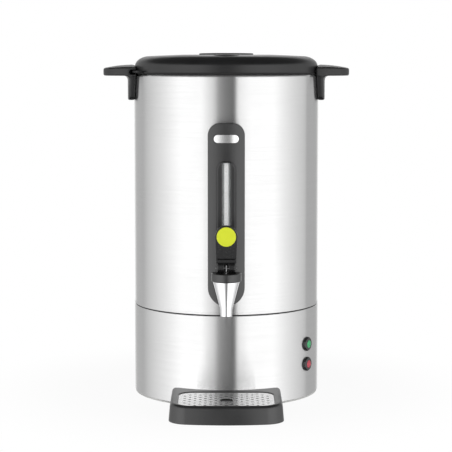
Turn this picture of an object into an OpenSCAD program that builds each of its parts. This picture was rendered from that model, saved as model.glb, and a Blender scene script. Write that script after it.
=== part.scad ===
// Coffee urn: a steel percolator tank on a steel base, with a black twist-lock lid, side handles,
// a sight gauge, a lever tap and a drip tray. The tank's axis is the Z axis, the tap faces -Y and
// the floor is z = 0. Sizes are in millimetres.

/* [Tank] */
// Outside diameter of the tank
tank_d = 268; // [256:1:290]
// Height of the tank from the seam to its rim
tank_h = 333.5; // [312:0.5:360]
// Thickness of the steel sheet of the tank and the base
sheet_t = 1; // [0.8:0.1:1.3]
// Diameter of the rolled rim at the tank's mouth
bead_d = 8; // [6:0.5:9]
// Height of the tank's floor above the seam
floor_rise = 3; // [2.5:0.5:6]
// Inside diameter of the heater well in the tank's floor
well_d = 88; // [78:1:98]
// Depth of the heater well
well_depth = 20; // [16:1:26]

/* [Base] */
// Height of the seam between the base and the tank
base_h = 130; // [120:1:142]
// How far the base skirt stands out past the tank
skirt_proud = 0.7; // [0.2:0.1:1.4]
// Height of the dark joint at the seam
seam_gap = 1.4; // [1:0.2:2]
// Width of the flanges turned in at both ends of the skirt
flange_w = 10; // [8:1:12]
// Height of the skirt's lower edge above the floor
floor_gap = 2; // [1.8:0.2:4]
// Thickness of the base plate
plate_t = 2.4; // [2:0.2:4]
// Width of the rubber ring that the base stands on
foot_w = 8; // [7:0.5:9]

/* [Lid] */
// How far the lid's side lies inside the tank's wall
lid_inset = 1.5; // [1:0.1:3]
// Wall thickness of the lid
lid_wall = 3; // [2.4:0.2:3.6]
// Height of the lid's upright side above the tank's rim
lid_side_h = 13.9; // [12:0.1:18]
// Width of the lid's rounded shoulder
shoulder_w = 22; // [18:1:26]
// Height of the lid's rounded shoulder
shoulder_h = 11.8; // [10:0.2:14]
// Rise of the lid's crown over its shoulder
crown_h = 3; // [2:0.2:5]
// Thickness of the lid's sealing ring
seal_t = 2; // [1.6:0.2:3]
// Diameter of the lid's knob
knob_d = 78.6; // [66:0.2:86]
// Diameter of the sunk ring around the knob
knob_well_d = 124; // [116:1:132]
// Depth of the sunk ring around the knob
knob_well_depth = 14; // [11:0.5:16]
// Height of the knob above the crown
knob_proud = 1.5; // [1:0.1:4]
// Diameter of the steam vent's dish
vent_d = 37; // [30:1:38]

/* [Handles] */
// Reach of a handle past the tank's wall
handle_reach = 44.5; // [38:0.5:52]
// Width of a handle from front to back
handle_w = 80; // [70:1:88]
// Height of a handle's root
wing_h = 16; // [15:0.5:20]
// Height of a handle's leg on the tank
leg_h = 35; // [32:1:44]
// Thickness of a handle's leg
leg_t = 9; // [8:0.5:11]
// Height of the lid lug's slot in a handle
slot_h = 6.2; // [5.4:0.2:7]

/* [Gauge column] */
// Width of the black column on the tank's front
column_w = 51; // [46:1:56]
// Height of the column
column_h = 252.5; // [246:0.5:262]
// Thickness of the column in front of the tank
column_t = 18; // [18:0.5:22]
// Wall thickness of the column
column_wall = 2.6; // [2:0.2:2.8]
// Width of the recess around the sight tube
recess_w = 25; // [22:1:28]
// Outside diameter of the sight tube
tube_d = 11.5; // [10:0.5:12]
// Length of the oval badge
badge_w = 34.3; // [28:0.1:38]
// Height of the oval badge
badge_h = 11.2; // [9:0.1:13]

/* [Tap] */
// Distance from the column's front to the tap's axis
tap_standoff = 34; // [30:0.5:40]
// Height of the tap's shank over the tank's floor
shank_rise = 38; // [34:1:44]
// Outside diameter of the tap's shank
shank_d = 14; // [12:0.5:14.5]
// Diameter of the spout's outlet
spout_d = 16; // [14:0.5:18]
// Diameter of the spout's top
spout_top_d = 36.4; // [33:0.2:38]
// Length of the straight outlet
outlet_h = 9.3; // [6:0.1:14]
// Diameter of the tap's black collar
collar_d = 41; // [39:0.5:44]
// Height of the collar
collar_h = 11.4; // [10.6:0.2:14]
// Height of the lever's pivot above the collar
pivot_rise = 6.1; // [5.6:0.1:7]
// Width of the lever's paddle
paddle_w = 30.4; // [28:0.2:34]
// Diameter of the coloured disc on the lever
disc_d = 26; // [22:0.5:27]
// Swing of the lever in degrees
lever_swing = 50; // [40:1:50]

/* [Push buttons] */
// Direction of the buttons, in degrees round the base from the front
button_az = 59; // [45:1:66]
// Height of the green button
green_z = 78.4; // [74:0.2:88]
// Height of the red button
red_z = 49.4; // [38:0.2:50]
// Diameter of a button's bezel
bezel_d = 20.6; // [19:0.2:22]
// How far a bezel stands out of the skirt
bezel_proud = 4; // [3.6:0.1:6]
// Diameter of a button's cap
cap_d = 11; // [9:0.2:11.4]
// How far the middle of a cap stands out of its bezel
cap_dome = 1.7; // [1:0.1:2.4]
// Travel of a button
press_travel = 2.2; // [1.5:0.1:3]

/* [Power inlet] */
// Height of the inlet's centre
inlet_z = 45; // [38:1:70]
// Width of the inlet's flange
inlet_w = 50; // [48:1:54]
// Height of the inlet's flange
inlet_h = 24; // [23.5:0.5:28]

/* [Percolator set] */
// Outside diameter of the riser tube
riser_d = 12; // [10:0.5:13]
// Outside diameter of the coffee basket
basket_d = 188; // [170:1:200]
// Height of the coffee basket
basket_h = 95; // [80:1:110]

/* [Drip tray] */
// Width of the tray at the floor
tray_w = 156; // [150:1:166]
// Distance from the skirt to the tray's front
tray_reach = 110.3; // [106:0.1:120]
// Height of the tray
tray_h = 25; // [24:0.5:30]
// Length of the grille's opening
grille_w = 131; // [120:1:134]
// Depth of the grille's opening from front to back
grille_l = 88; // [80:1:90]
// Thickness of the grille's plate
grille_t = 2; // [1.6:0.1:2.4]
// Depth of the grille's top below the tray's rim
grille_sink = 1.5; // [1:0.1:2.5]

/* [Hidden] */
$fn = 96;

// fits
touch = 0.05;
rest_gap = 0.1;
slide_gap = 0.1;
pin_gap = 0.05;
loose_gap = 0.4;
over = 1;

// tank and base
tank_r = tank_d / 2;
tank_in_r = tank_r - sheet_t;
bead_r = bead_d / 2;
rim_z = base_h + tank_h;
hem_z = base_h + seam_gap / 2;
seam_lo = base_h - seam_gap / 2;
floor_z = base_h + floor_rise;
floor_under = floor_z - sheet_t;
well_r = well_d / 2;
well_z = floor_z - well_depth;
skirt_r = tank_r + skirt_proud;
skirt_in_r = skirt_r - sheet_t;
seal_inset = 0.4;
plate_z = floor_gap + sheet_t;
plate_top = plate_z + plate_t;
foot_circle = skirt_r - flange_w / 2;
foot_angles = [45, 135, 225, 315];
small_screw_r = 1.5;
small_head_r = 2.8;
small_head_t = 1.4;
stud_r = 2.5;
stud_circle = tank_r - 22;
stud_angles = [30, 150, 270];
stud_nut_r = 4.6;
stud_nut_t = 1.9;

// heater parts
rod_r = 4;
rod_end_w = 2 * rod_r + 2;
rod_end_l = 8;
boil_r = well_r + sheet_t + rod_end_w / 2 + touch;
boil_z = well_z + 7;
warm_r = tank_r - 39;
warm_z = floor_under - rod_end_w / 2 - touch;
rod_drop = 14;
boil_turn = 118;
warm_turn = 142;
rod_gap = 34;
sensor_r = 8;
sensor_h = 9;
sensor_y = (boil_r + warm_r) / 2;
blade_h = 8;
blade_x = 4;
block_w = 52;
block_l = 20;
block_h = 18;
block_y = 46;
pole_pitch = 12;
pole_r = 3;
wire_r = 1.3;
wire_gap = 0.4;
lead_out = 22;
lead_drop = 24;

// screws through the tank's wall
screw_r = 2;
screw_in = 6.5;
screw_head_r = 4;
screw_head_t = 2.4;
washer_r = 5.5;
washer_t = 1.2;
washer_seat = sqrt(tank_in_r * tank_in_r - washer_r * washer_r) - touch;
screw_seat = washer_seat - washer_t - touch;

// lid
lid_r = tank_r - lid_inset;
seal_z = rim_z + rest_gap;
lid_z = seal_z + seal_t + rest_gap;
side_z = rim_z + lid_side_h;
shoulder_r = lid_r - shoulder_w;
shoulder_z = side_z + shoulder_h;
spigot_r = tank_r - bead_d - 0.8;
spigot_t = 2.5;
spigot_z = lid_z - 10;
seal_in_r = spigot_r + loose_gap;
seal_out_r = lid_r - 0.8;
knob_r = knob_d / 2;
knob_well_r = knob_well_d / 2;
knob_floor = crown(knob_well_r) - knob_well_depth;
knob_top = shoulder_z + crown_h + knob_proud;
knob_t = 7;
knob_stem_r = 15;
knob_screw_r = 2.5;
vent_r = 99;
dish_r = 30;
dish_drop = sqrt(dish_r * dish_r - vent_d * vent_d / 4);
vent_z = crown(vent_r);
lug_t = 2.8;
lug_half = 4;
slot_reach = 8.7;
lug_r = tank_r + slot_reach - 1.2;
lock_angle = asin(handle_w / 2 / (tank_r + touch)) + lug_half + 2;

// handles
wing_z = rim_z - 2.5;
wing_top = wing_z + wing_h;
wing_root = tank_r - 24;
wing_curve = 2.5;
wing_crown_r = 194;
leg_z = wing_z - leg_h;
leg_top_w = handle_w - 4;
leg_low_w = handle_w - 19;
leg_corner = 8;
leg_fillet = 6;
slot_z = rim_z - 0.3;
handle_screw_turn = 8;
handle_screw_z = leg_z + leg_h / 2;

// gauge column and tap
shank_z = floor_z + shank_rise;
column_r = column_w / 2;
column_z = shank_z - column_r;
column_top = column_z + column_h;
column_corner = 17;
column_front = tank_r + column_t;
column_bow = 75;
column_screw_z = column_top - 44;
column_boss_r = 7;
badge_z = column_top - 21.5;
badge_t = 1.2;
badge_out = 0.5;
tube_r = tube_d / 2;
tube_y = -(tank_r + 8.3);
tube_drop = 54.5;
tube_rise = 10;
tube_top = column_top - tube_drop;
tube_low = shank_z + tube_rise;
socket_r = tube_r + 1.15;
socket_h = 17;
socket_top = shank_z + socket_h;
recess_drop = 52;
recess_rise = 44;
recess_top = column_top - recess_drop;
recess_low = shank_z + recess_rise;
recess_depth = 5;
channel_r = tube_r + loose_gap;
channel_y = -(tank_r + 1);
channel_top = tube_top + 6;
liner_r = recess_w / 2 + 2.5;
liner_low = socket_top + 3;
strip_w = 6.2;
strip_t = 1;
strip_rise = 60;
strip_low = shank_z + strip_rise;

// tap
tap_y = -(column_front + tap_standoff);
shank_r = shank_d / 2;
shank_bore = 4.2;
shank_front = column_front + 14;
shank_back = tank_r - 16;
shank_washer_r = 9.5;
shank_washer_t = 0.8;
socket_front = column_front - column_bow - touch
    + sqrt(pow(column_bow - column_wall, 2) - pow(shank_washer_r, 2));
nut_r = 12;
nut_t = 6;
nut_washer_t = 2;
nut_washer_r = 11.5;
nut_seat = sqrt(tank_in_r * tank_in_r - nut_washer_r * nut_washer_r) - touch;
boss_r = shank_r + 2.5;
spout_r = spout_d / 2;
spout_top_r = spout_top_d / 2;
spout_drop = 33.5;
spout_rise = 14.5;
spout_z = shank_z - spout_drop;
spout_cone_z = spout_z + outlet_h;
spout_top = shank_z + spout_rise;
neck_r = 14.5;
neck_h = 6.6;
throat_r = 4.6;
seat_z = shank_z - 11;
chamber_r = 8.5;
chamber_h = 3;
collar_r = collar_d / 2;
collar_z = spout_top + rest_gap;
collar_top = collar_z + collar_h;
collar_roof = spout_top + neck_h + rest_gap;
stem_r = 1.5;
pivot_z = collar_top + pivot_rise;
pin_r = 1.25;
stem_top = pivot_z + 4;
plug_h = 9;
plug_z = seat_z + chamber_h + 0.2;
spring_r = 4.6;
spring_wire = 0.55;
spring_turns = 6;
spring_low = plug_z + plug_h + touch;
spring_top = collar_roof - touch;

// lever, as distances from its pivot: front is negative
cam_throw = 5;
cam_lead = lever_swing / 2;
cam_y = -cam_throw * cos(cam_lead);
cam_z = cam_throw * sin(cam_lead);
cam_r = pivot_rise + cam_z - 0.25;
eye_r = pivot_rise - 0.6;
paddle_r = paddle_w / 2;
paddle_mid = 44.4;
lip_y = -17.8;
lip_z = 18.1;
lip_t = 3;
face_lean = 5.15;
hub_w = 23.5;
stem_slot = 7;

// push buttons
cap_r = cap_d / 2;
cap_ball_r = (cap_r * cap_r + cap_dome * cap_dome) / (2 * cap_dome);
bezel_r = bezel_d / 2;
bezel_edge = 3.4;
barrel_r = cap_r + 2.2;
barrel_len = 16;
keeper_r = cap_r + 0.8;
keeper_z = -4;
keeper_t = 2;
plunger_r = 2.5;
switch_len = 16;
switch_blade = 6;
switch_blade_y = 3.5;
button_nut_r = barrel_r + 3.4;
button_nut_t = 3;
button_nut_z = sqrt(skirt_in_r * skirt_in_r - button_nut_r * button_nut_r) - touch - skirt_r;
switch_tail = skirt_r - barrel_len - switch_len - switch_blade;

// power inlet
inlet_body_w = 28;
inlet_body_h = 20;
inlet_body_l = 22;
inlet_out = 2.5;
inlet_wall = 1.7;
inlet_depth = 15;
inlet_screw_x = 20;
inlet_pin_x = 7;
inlet_pin_z = 4;
inlet_tail = skirt_r - 32;

// percolator set
riser_r = riser_d / 2;
riser_wall = 0.9;
riser_top = rim_z - 14;
bell_r = well_r - 3;
bell_z = well_z + rest_gap;
bell_wall = 1.2;
bell_skirt = 6;
bell_neck = 16;
bell_h = 26;
riser_low = bell_z + 12;
basket_r = basket_d / 2;
basket_top = rim_z - 36;
basket_z = basket_top - basket_h;
basket_lip = 3;
basket_seat = 6;
sleeve_r = riser_r + loose_gap;
sleeve_wall = 1.2;
sleeve_h = 66;
collar_ring_z = basket_z - 4;
collar_ring_t = 3;
collar_ring_r = riser_r + 4;
sleeve_z = collar_ring_z + rest_gap;
spreader_z = basket_top + rest_gap;
spreader_r = basket_r + 4.4;
spreader_rim = 5;

// drip tray
tray_gap = 1;
tray_front = skirt_r + tray_reach;
tray_side = tray_w / 2;
tray_draft = 2;
tray_corner = 44;
tray_rear_corner = 7;
tray_rear = 112;
tray_edge = 5;
tray_floor = 3;
tray_rim = 9.7;
grille_corner = 20;
grille_y = tray_rim + grille_l / 2 - tray_front;
grille_top = tray_h - grille_sink;
seat_h = grille_top - grille_t - rest_gap;
seat_w = 3;
hole_r = 1.9;
hole_dx = 7.1;
hole_dy = 14.5;
hole_rim = 6;
finger_r = 9;
finger_y = grille_y - 3.7;

// colours
steel = [0.78, 0.79, 0.8];
chrome = [0.9, 0.9, 0.92];
black = [0.12, 0.12, 0.13];
rubber = [0.16, 0.16, 0.16];
silicone = [0.86, 0.86, 0.84];
brass = [0.78, 0.62, 0.3];
glass = [0.84, 0.9, 0.92];
white = [0.95, 0.95, 0.94];
yellow = [0.86, 0.9, 0.18];
green = [0.25, 0.65, 0.43];
red = [0.75, 0.25, 0.3];
grey = [0.45, 0.46, 0.47];

// height of the lid's crown at a distance from the axis
function crown(r) = shoulder_z + crown_h * (1 - r * r / (shoulder_r * shoulder_r));

function arc(c, rx, ry, from, to, steps) =
    [for (i = [0:steps]) let (a = from + (to - from) * i / steps) [c[0] + rx * cos(a), c[1] + ry * sin(a)]];

// half outline of the lid's outside, down to a given height
function lid_outline(low) = concat(
    [[0, low], [lid_r, low]],
    arc([shoulder_r, side_z], shoulder_w, shoulder_h, 0, 80, 10),
    [for (i = [0:6]) let (r = shoulder_r * (1 - i / 6)) [r, crown(r)]]
);

// half outline of the hollow under the lid
function lid_hollow() = concat(
    [[0, lid_z - over], [lid_r - lid_wall, lid_z - over]],
    arc([shoulder_r, side_z], shoulder_w - lid_wall, shoulder_h - lid_wall, 0, 80, 10),
    [for (i = [0:6]) let (r = shoulder_r * (1 - i / 6)) [r, crown(r) - lid_wall]]
);

function unit(v) = v / norm(v);

// points of a curve that leaves its ends along two arms
function curve(p, steps) = [for (i = [0:steps])
    let (t = i / steps, s = 1 - t)
    s * s * s * p[0] + 3 * s * s * t * p[1] + 3 * s * t * t * p[2] + t * t * t * p[3]
];

// rings of points around a path
function path_rings(p, r, sides, up) = [for (i = [0:len(p) - 1])
    let (
        t = unit(p[min(i + 1, len(p) - 1)] - p[max(i - 1, 0)]),
        u = unit(cross(up, t)),
        v = cross(t, u)
    )
    [for (j = [0:sides - 1]) p[i] + r * (cos(360 * j / sides) * u + sin(360 * j / sides) * v)]
];

function helix_rings(r, wire, turns, low, top) = [for (i = [0:turns * 8])
    let (
        a = i * 45,
        z = low + wire + (top - low - 2 * wire) * i / (turns * 8),
        u = [cos(a), sin(a), 0]
    )
    [for (j = [0:5]) u * (r + wire * cos(60 * j)) + [0, 0, z - wire * sin(60 * j)]]
];

module skin(rings) {
    n = len(rings[0]);
    m = len(rings);
    walls = [for (i = [0:m - 2]) for (j = [0:n - 1])
        let (a = i * n + j, b = i * n + (j + 1) % n)
        each [[a, a + n, b + n], [a, b + n, b]]];
    start = [for (j = [1:n - 2]) [0, j, j + 1]];
    end = [for (j = [1:n - 2]) [(m - 1) * n, (m - 1) * n + j + 1, (m - 1) * n + j]];
    polyhedron(points = [for (r = rings) each r], faces = concat(walls, start, end));
}

// a ring about the Z axis
module ring(r_in, r_out, z, h) {
    translate([0, 0, z])
        linear_extrude(height = h)
            difference() {
                circle(r_out);
                circle(r_in);
            }
}

// a part of a ring about the Z axis, from one angle to another
module ring_part(r_in, r_out, z, h, from, to) {
    rotate([0, 0, from])
        rotate_extrude(angle = to - from)
            translate([r_in, z])
                square([r_out - r_in, h]);
}

// a cylinder that points away from the axis, at a turn round it
module radial(turn, r_from, r_to, z, r) {
    rotate([0, 0, turn])
        translate([r_from, 0, z])
            rotate([0, 90, 0])
                cylinder(r = r, h = r_to - r_from);
}

module stadium(w, h) {
    square([w - h, h], center = true);
    for (s = [-1, 1])
        translate([s * (w - h) / 2, 0])
            circle(h / 2);
}

// a rectangle with round corners
module round_plate(w, h, r) {
    square([w - 2 * r, h], center = true);
    square([w, h - 2 * r], center = true);
    for (x = [-1, 1], y = [-1, 1])
        translate([x * (w / 2 - r), y * (h / 2 - r)])
            circle(r);
}

// a flat outline in X and Z, made solid between two distances in front of the axis
module upright(from, to) {
    translate([0, -from, 0])
        rotate([90, 0, 0])
            linear_extrude(height = to - from)
                children();
}

module tank() {
    color(steel)
        difference() {
            rotate_extrude() {
                translate([tank_in_r, hem_z])
                    square([sheet_t, rim_z - bead_r - hem_z]);
                translate([tank_r - bead_r, rim_z - bead_r])
                    intersection() {
                        difference() {
                            circle(bead_r);
                            circle(bead_r - sheet_t);
                        }
                        translate([-bead_r, 0])
                            square([bead_d, bead_r]);
                    }
                translate([well_r, floor_under])
                    square([tank_r - sheet_t / 2 - well_r, sheet_t]);
                translate([well_r, well_z - sheet_t])
                    square([sheet_t, well_depth + sheet_t]);
                translate([0, well_z - sheet_t])
                    square([well_r + sheet_t, sheet_t]);
            }
            radial(-90, tank_in_r - over, tank_r + over, shank_z, shank_r + slide_gap);
            wall_screw_places()
                radial(0, tank_in_r - over, tank_r + over, 0, screw_r + slide_gap);
        }
}

// the five places where a screw passes through the tank's wall, pointing away from the axis
module wall_screw_places() {
    for (side = [0, 180], turn = [-handle_screw_turn, handle_screw_turn])
        rotate([0, 0, side + turn])
            translate([0, 0, handle_screw_z])
                children();
    rotate([0, 0, -90])
        translate([0, 0, column_screw_z])
            children();
}

module wall_screws() {
    color(steel)
        wall_screw_places() {
            radial(0, screw_seat - over / 2, tank_r + screw_in, 0, screw_r);
            radial(0, screw_seat - screw_head_t, screw_seat, 0, screw_head_r);
        }
}

module wall_washers() {
    color(silicone)
        wall_screw_places()
            rotate([30, 0, 0])
                difference() {
                    radial(0, washer_seat - washer_t, washer_seat, 0, washer_r);
                    radial(0, washer_seat - washer_t - over, washer_seat + over, 0, screw_r + touch);
                }
}

module seam_gasket() {
    color(rubber)
        ring(skirt_r - flange_w + 2, tank_r - seal_inset, seam_lo, seam_gap);
}

// places a button's parts: local Z points out of the skirt, local Y points up
module at_button(z) {
    rotate([0, 0, button_az])
        translate([0, -skirt_r, z])
            rotate([90, 0, 0])
                children();
}

module inlet_places() {
    for (s = [-1, 1])
        translate([s * inlet_screw_x, 0, inlet_z])
            rotate([-90, 0, 0])
                children();
}

module base_skirt() {
    color(steel)
        difference() {
            rotate_extrude() {
                translate([skirt_in_r, floor_gap])
                    square([sheet_t, seam_lo - floor_gap]);
                translate([skirt_r - flange_w, seam_lo - sheet_t])
                    square([flange_w, sheet_t]);
                translate([skirt_r - flange_w, floor_gap])
                    square([flange_w, sheet_t]);
            }
            for (z = [green_z, red_z])
                at_button(z)
                    translate([0, 0, -sheet_t - over])
                        cylinder(r = barrel_r + slide_gap, h = sheet_t + 2 * over);
            translate([-inlet_body_w / 2 - slide_gap, skirt_r - 4, inlet_z - inlet_body_h / 2 - slide_gap])
                cube([inlet_body_w + 2 * slide_gap, 6, inlet_body_h + 2 * slide_gap]);
            inlet_places()
                translate([0, 0, skirt_r - 6])
                    cylinder(r = small_screw_r + slide_gap, h = 12);
            for (a = foot_angles)
                rotate([0, 0, a])
                    translate([foot_circle, 0, floor_gap - over])
                        cylinder(r = small_screw_r + touch, h = sheet_t + 2 * over);
        }
}

module base_plate() {
    color(black)
        translate([0, 0, plate_z])
            linear_extrude(height = plate_t)
                difference() {
                    circle(skirt_in_r - loose_gap);
                    for (a = foot_angles)
                        rotate(a)
                            translate([foot_circle, 0])
                                circle(small_screw_r + touch);
                    for (a = stud_angles)
                        rotate(a)
                            translate([stud_circle, 0])
                                circle(stud_r + touch);
                    for (a = [0:30:330])
                        rotate(a + 15)
                            translate([64, 0])
                                stadium(26, 4);
                }
}

module foot_ring() {
    color(rubber)
        linear_extrude(height = floor_gap)
            difference() {
                circle(foot_circle + foot_w / 2);
                circle(foot_circle - foot_w / 2);
                for (a = foot_angles)
                    rotate(a)
                        translate([foot_circle, 0])
                            circle(small_head_r + slide_gap);
            }
}

module foot_screws() {
    color(steel)
        for (a = foot_angles)
            rotate([0, 0, a])
                translate([foot_circle, 0, floor_gap - touch]) {
                    translate([0, 0, -small_head_t])
                        cylinder(r = small_head_r, h = small_head_t);
                    translate([0, 0, -small_head_t / 2])
                        cylinder(r = small_screw_r, h = plate_top - floor_gap + small_head_t / 2 + 3);
                }
}

module tie_studs() {
    color(steel)
        for (a = stud_angles)
            rotate([0, 0, a])
                translate([stud_circle, 0, plate_z - stud_nut_t])
                    cylinder(r = stud_r, h = floor_under - plate_z + stud_nut_t);
}

module tie_nuts() {
    color(steel)
        for (a = stud_angles)
            rotate([0, 0, a])
                translate([stud_circle, 0, plate_z - stud_nut_t])
                    difference() {
                        cylinder(r = stud_nut_r, h = stud_nut_t, $fn = 6);
                        translate([0, 0, -over])
                            cylinder(r = stud_r + touch, h = stud_nut_t + 2 * over);
                    }
}

// a rod heater bent to a ring, with a terminal hanging from each end
module rod_ring(r, z, turn) {
    rotate([0, 0, turn]) {
        rotate([0, 0, rod_gap / 2])
            rotate_extrude(angle = 360 - rod_gap)
                translate([r, z])
                    circle(rod_r);
        for (s = [-1, 1])
            rotate([0, 0, s * (rod_gap / 2 + 1)])
                translate([r - rod_end_w / 2, (s + 1) / 2 * -rod_end_l, z - rod_drop])
                    cube([rod_end_w, rod_end_l, rod_drop + rod_end_w / 2]);
    }
}

module boil_element() {
    color(grey)
        rod_ring(boil_r, boil_z, boil_turn);
}

module warm_element() {
    color(grey)
        rod_ring(warm_r, warm_z, warm_turn);
}

// a button-shaped heat sensor that hangs from z, with two blades below it
module sensor(z) {
    translate([0, 0, z - sensor_h])
        cylinder(r = sensor_r, h = sensor_h);
    for (s = [-1, 1])
        translate([s * blade_x - 1.5, -0.4, z - sensor_h - blade_h])
            cube([3, 0.8, blade_h + over]);
}

module thermostat() {
    color(grey)
        translate([0, sensor_y, 0])
            sensor(floor_under - touch);
}

module thermal_cutout() {
    color(grey)
        sensor(well_z - sheet_t - touch);
}

module terminal_block() {
    color(white)
        difference() {
            translate([-block_w / 2, block_y, plate_top])
                cube([block_w, block_l, block_h]);
            for (k = [-1.5:1.5])
                translate([k * pole_pitch, block_y + block_l / 2, plate_top + block_h * 0.55])
                    cylinder(r = pole_r, h = block_h);
        }
}

// ends of the leads inside the base
function rod_end(r, z, turn) =
    let (a = turn + rod_gap / 2 + 1, d = rod_end_l / 2)
    [r * cos(a) + d * sin(a), r * sin(a) - d * cos(a), z - rod_drop - wire_gap];
function block_back(k) = [k * pole_pitch, block_y + block_l + wire_gap, plate_top + block_h / 2];
function block_front(k) = [k * pole_pitch, block_y - wire_gap, plate_top + block_h / 2];
function pin_end(x, z) = [x, inlet_tail - wire_gap, inlet_z + z];
function blade_end(z, s, d) = [
    (switch_tail - d) * sin(button_az),
    -(switch_tail - d) * cos(button_az),
    z + s * switch_blade_y
];
function sensor_end(d) = [blade_x, sensor_y, floor_under - sensor_h - blade_h - touch - d];

module wire(p, up) {
    skin(path_rings(curve(p, 14), wire_r, 8, up));
}

module wiring() {
    back = [0, lead_out, 0];
    down = [0, 0, lead_drop];
    boil_end = rod_end(boil_r, boil_z, boil_turn);
    warm_end = rod_end(warm_r, warm_z, warm_turn);
    color(red) {
        for (s = [-1, 1])
            wire([pin_end(s * inlet_pin_x, -inlet_pin_z), pin_end(s * inlet_pin_x, -inlet_pin_z) - back,
                  block_back(s / 2) + back, block_back(s / 2)], [1, 0, 0]);
        wire([pin_end(0, inlet_pin_z), pin_end(0, inlet_pin_z) - back,
              block_back(1.5) + back, block_back(1.5)], [1, 0, 0.1]);
        wire([block_front(1.5), block_front(1.5) - back,
              blade_end(red_z, -1, lead_out), blade_end(red_z, -1, wire_gap)], [0, 0, 1]);
        wire([block_front(0.5), block_front(0.5) - back,
              blade_end(green_z, -1, lead_out), blade_end(green_z, -1, wire_gap)], [0, 0, 1]);
        wire([blade_end(green_z, 1, wire_gap), blade_end(green_z, 1, lead_out),
              sensor_end(lead_out), sensor_end(wire_gap)], [1, 0.3, 0]);
        wire([block_front(-0.5), block_front(-0.5) - back, boil_end - down, boil_end], [1, 0, 0]);
        wire([block_front(-1.5), block_front(-1.5) - back, warm_end - down, warm_end], [1, 0.2, 0]);
    }
}

module inlet_socket() {
    color(black)
        difference() {
            union() {
                difference() {
                    translate([0, skirt_r - 4, inlet_z])
                        rotate([-90, 0, 0])
                            linear_extrude(height = 4 + inlet_out)
                                stadium(inlet_w, inlet_h);
                    cylinder(r = skirt_r + touch, h = base_h);
                }
                translate([-inlet_body_w / 2, skirt_r - inlet_body_l, inlet_z - inlet_body_h / 2])
                    cube([inlet_body_w, inlet_body_l + inlet_out / 2, inlet_body_h]);
            }
            translate([
                -inlet_body_w / 2 + inlet_wall,
                skirt_r + inlet_out - inlet_depth,
                inlet_z - inlet_body_h / 2 + inlet_wall
            ])
                cube([inlet_body_w - 2 * inlet_wall, inlet_depth + over, inlet_body_h - 2 * inlet_wall]);
            inlet_pin_places(touch);
            inlet_places()
                translate([0, 0, skirt_r - 6]) {
                    cylinder(r = small_screw_r + touch, h = 12);
                    translate([0, 0, 6 + inlet_out - small_head_t - slide_gap])
                        cylinder(r = small_head_r + slide_gap, h = 4);
                }
        }
}

module inlet_pin_places(grow) {
    for (p = [[-inlet_pin_x, -inlet_pin_z], [inlet_pin_x, -inlet_pin_z], [0, inlet_pin_z]])
        translate([p[0] - 1 - grow, inlet_tail, inlet_z + p[1] - 2 - grow])
            cube([2 + 2 * grow, skirt_r + inlet_out - 6 - inlet_tail, 4 + 2 * grow]);
}

module inlet_pins() {
    color(brass)
        inlet_pin_places(0);
}

module inlet_screws() {
    color(steel)
        inlet_places()
            translate([0, 0, skirt_r]) {
                translate([0, 0, inlet_out - small_head_t])
                    cylinder(r = small_head_r, h = small_head_t);
                translate([0, 0, -8])
                    cylinder(r = small_screw_r, h = 8 + inlet_out - small_head_t / 2);
            }
}

// half outline of a bezel's rim, outside the skirt
function bezel_outline() = concat(
    [[cap_r + slide_gap, -over], [bezel_r, -over]],
    arc([bezel_r - bezel_edge, bezel_proud - bezel_edge], bezel_edge, bezel_edge, 0, 90, 8),
    [[cap_r + slide_gap, bezel_proud]]
);

module bezel(z) {
    difference() {
        at_button(z)
            rotate_extrude()
                polygon(bezel_outline());
        cylinder(r = skirt_r + touch, h = base_h);
    }
    at_button(z)
        difference() {
            translate([0, 0, -barrel_len])
                cylinder(r = barrel_r, h = barrel_len + over);
            translate([0, 0, -barrel_len - over])
                cylinder(r = keeper_r + slide_gap, h = barrel_len + over + keeper_z + slide_gap);
            translate([0, 0, keeper_z])
                cylinder(r = cap_r + slide_gap, h = 8);
        }
}

module button_cap(z) {
    at_button(z) {
        intersection() {
            translate([0, 0, keeper_z - keeper_t])
                cylinder(r = cap_r, h = bezel_proud + cap_dome - keeper_z + keeper_t);
            translate([0, 0, bezel_proud + cap_dome - cap_ball_r])
                sphere(cap_ball_r);
        }
        translate([0, 0, keeper_z - keeper_t])
            cylinder(r = keeper_r, h = keeper_t);
        translate([0, 0, -barrel_len - 2])
            cylinder(r = plunger_r, h = barrel_len + 2 + keeper_z - keeper_t / 2);
    }
}

module button_switch(z) {
    at_button(z) {
        difference() {
            translate([0, 0, -barrel_len - switch_len])
                cylinder(r = barrel_r, h = switch_len);
            translate([0, 0, -barrel_len - 2 - press_travel - 2])
                cylinder(r = plunger_r + slide_gap, h = 10);
        }
        for (s = [-1, 1])
            translate([-1.5, s * switch_blade_y - 0.4, -barrel_len - switch_len - switch_blade])
                cube([3, 0.8, switch_blade + over]);
    }
}

module green_bezel() {
    color(black)
        bezel(green_z);
}

module red_bezel() {
    color(black)
        bezel(red_z);
}

module green_cap() {
    color(green)
        button_cap(green_z);
}

module red_cap() {
    color(red)
        button_cap(red_z);
}

module green_switch() {
    color(grey)
        button_switch(green_z);
}

module red_switch() {
    color(grey)
        button_switch(red_z);
}

module button_nuts() {
    color(steel)
        for (z = [green_z, red_z])
            at_button(z)
                difference() {
                    translate([0, 0, button_nut_z - button_nut_t])
                        cylinder(r = button_nut_r, h = button_nut_t, $fn = 6);
                    translate([0, 0, button_nut_z - button_nut_t - over])
                        cylinder(r = barrel_r + touch, h = button_nut_t + 2 * over);
                }
}

// outline of a handle from above
function wing_outline() = [for (i = [-14:14])
    let (a = i * 90 / 14, c = cos(a), s = sin(a))
    [
        wing_root + (tank_r + handle_reach - wing_root) * pow(max(c, 0), 2 / wing_curve),
        handle_w / 2 * sign(s) * pow(abs(s), 2 / wing_curve)
    ]
];

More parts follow.
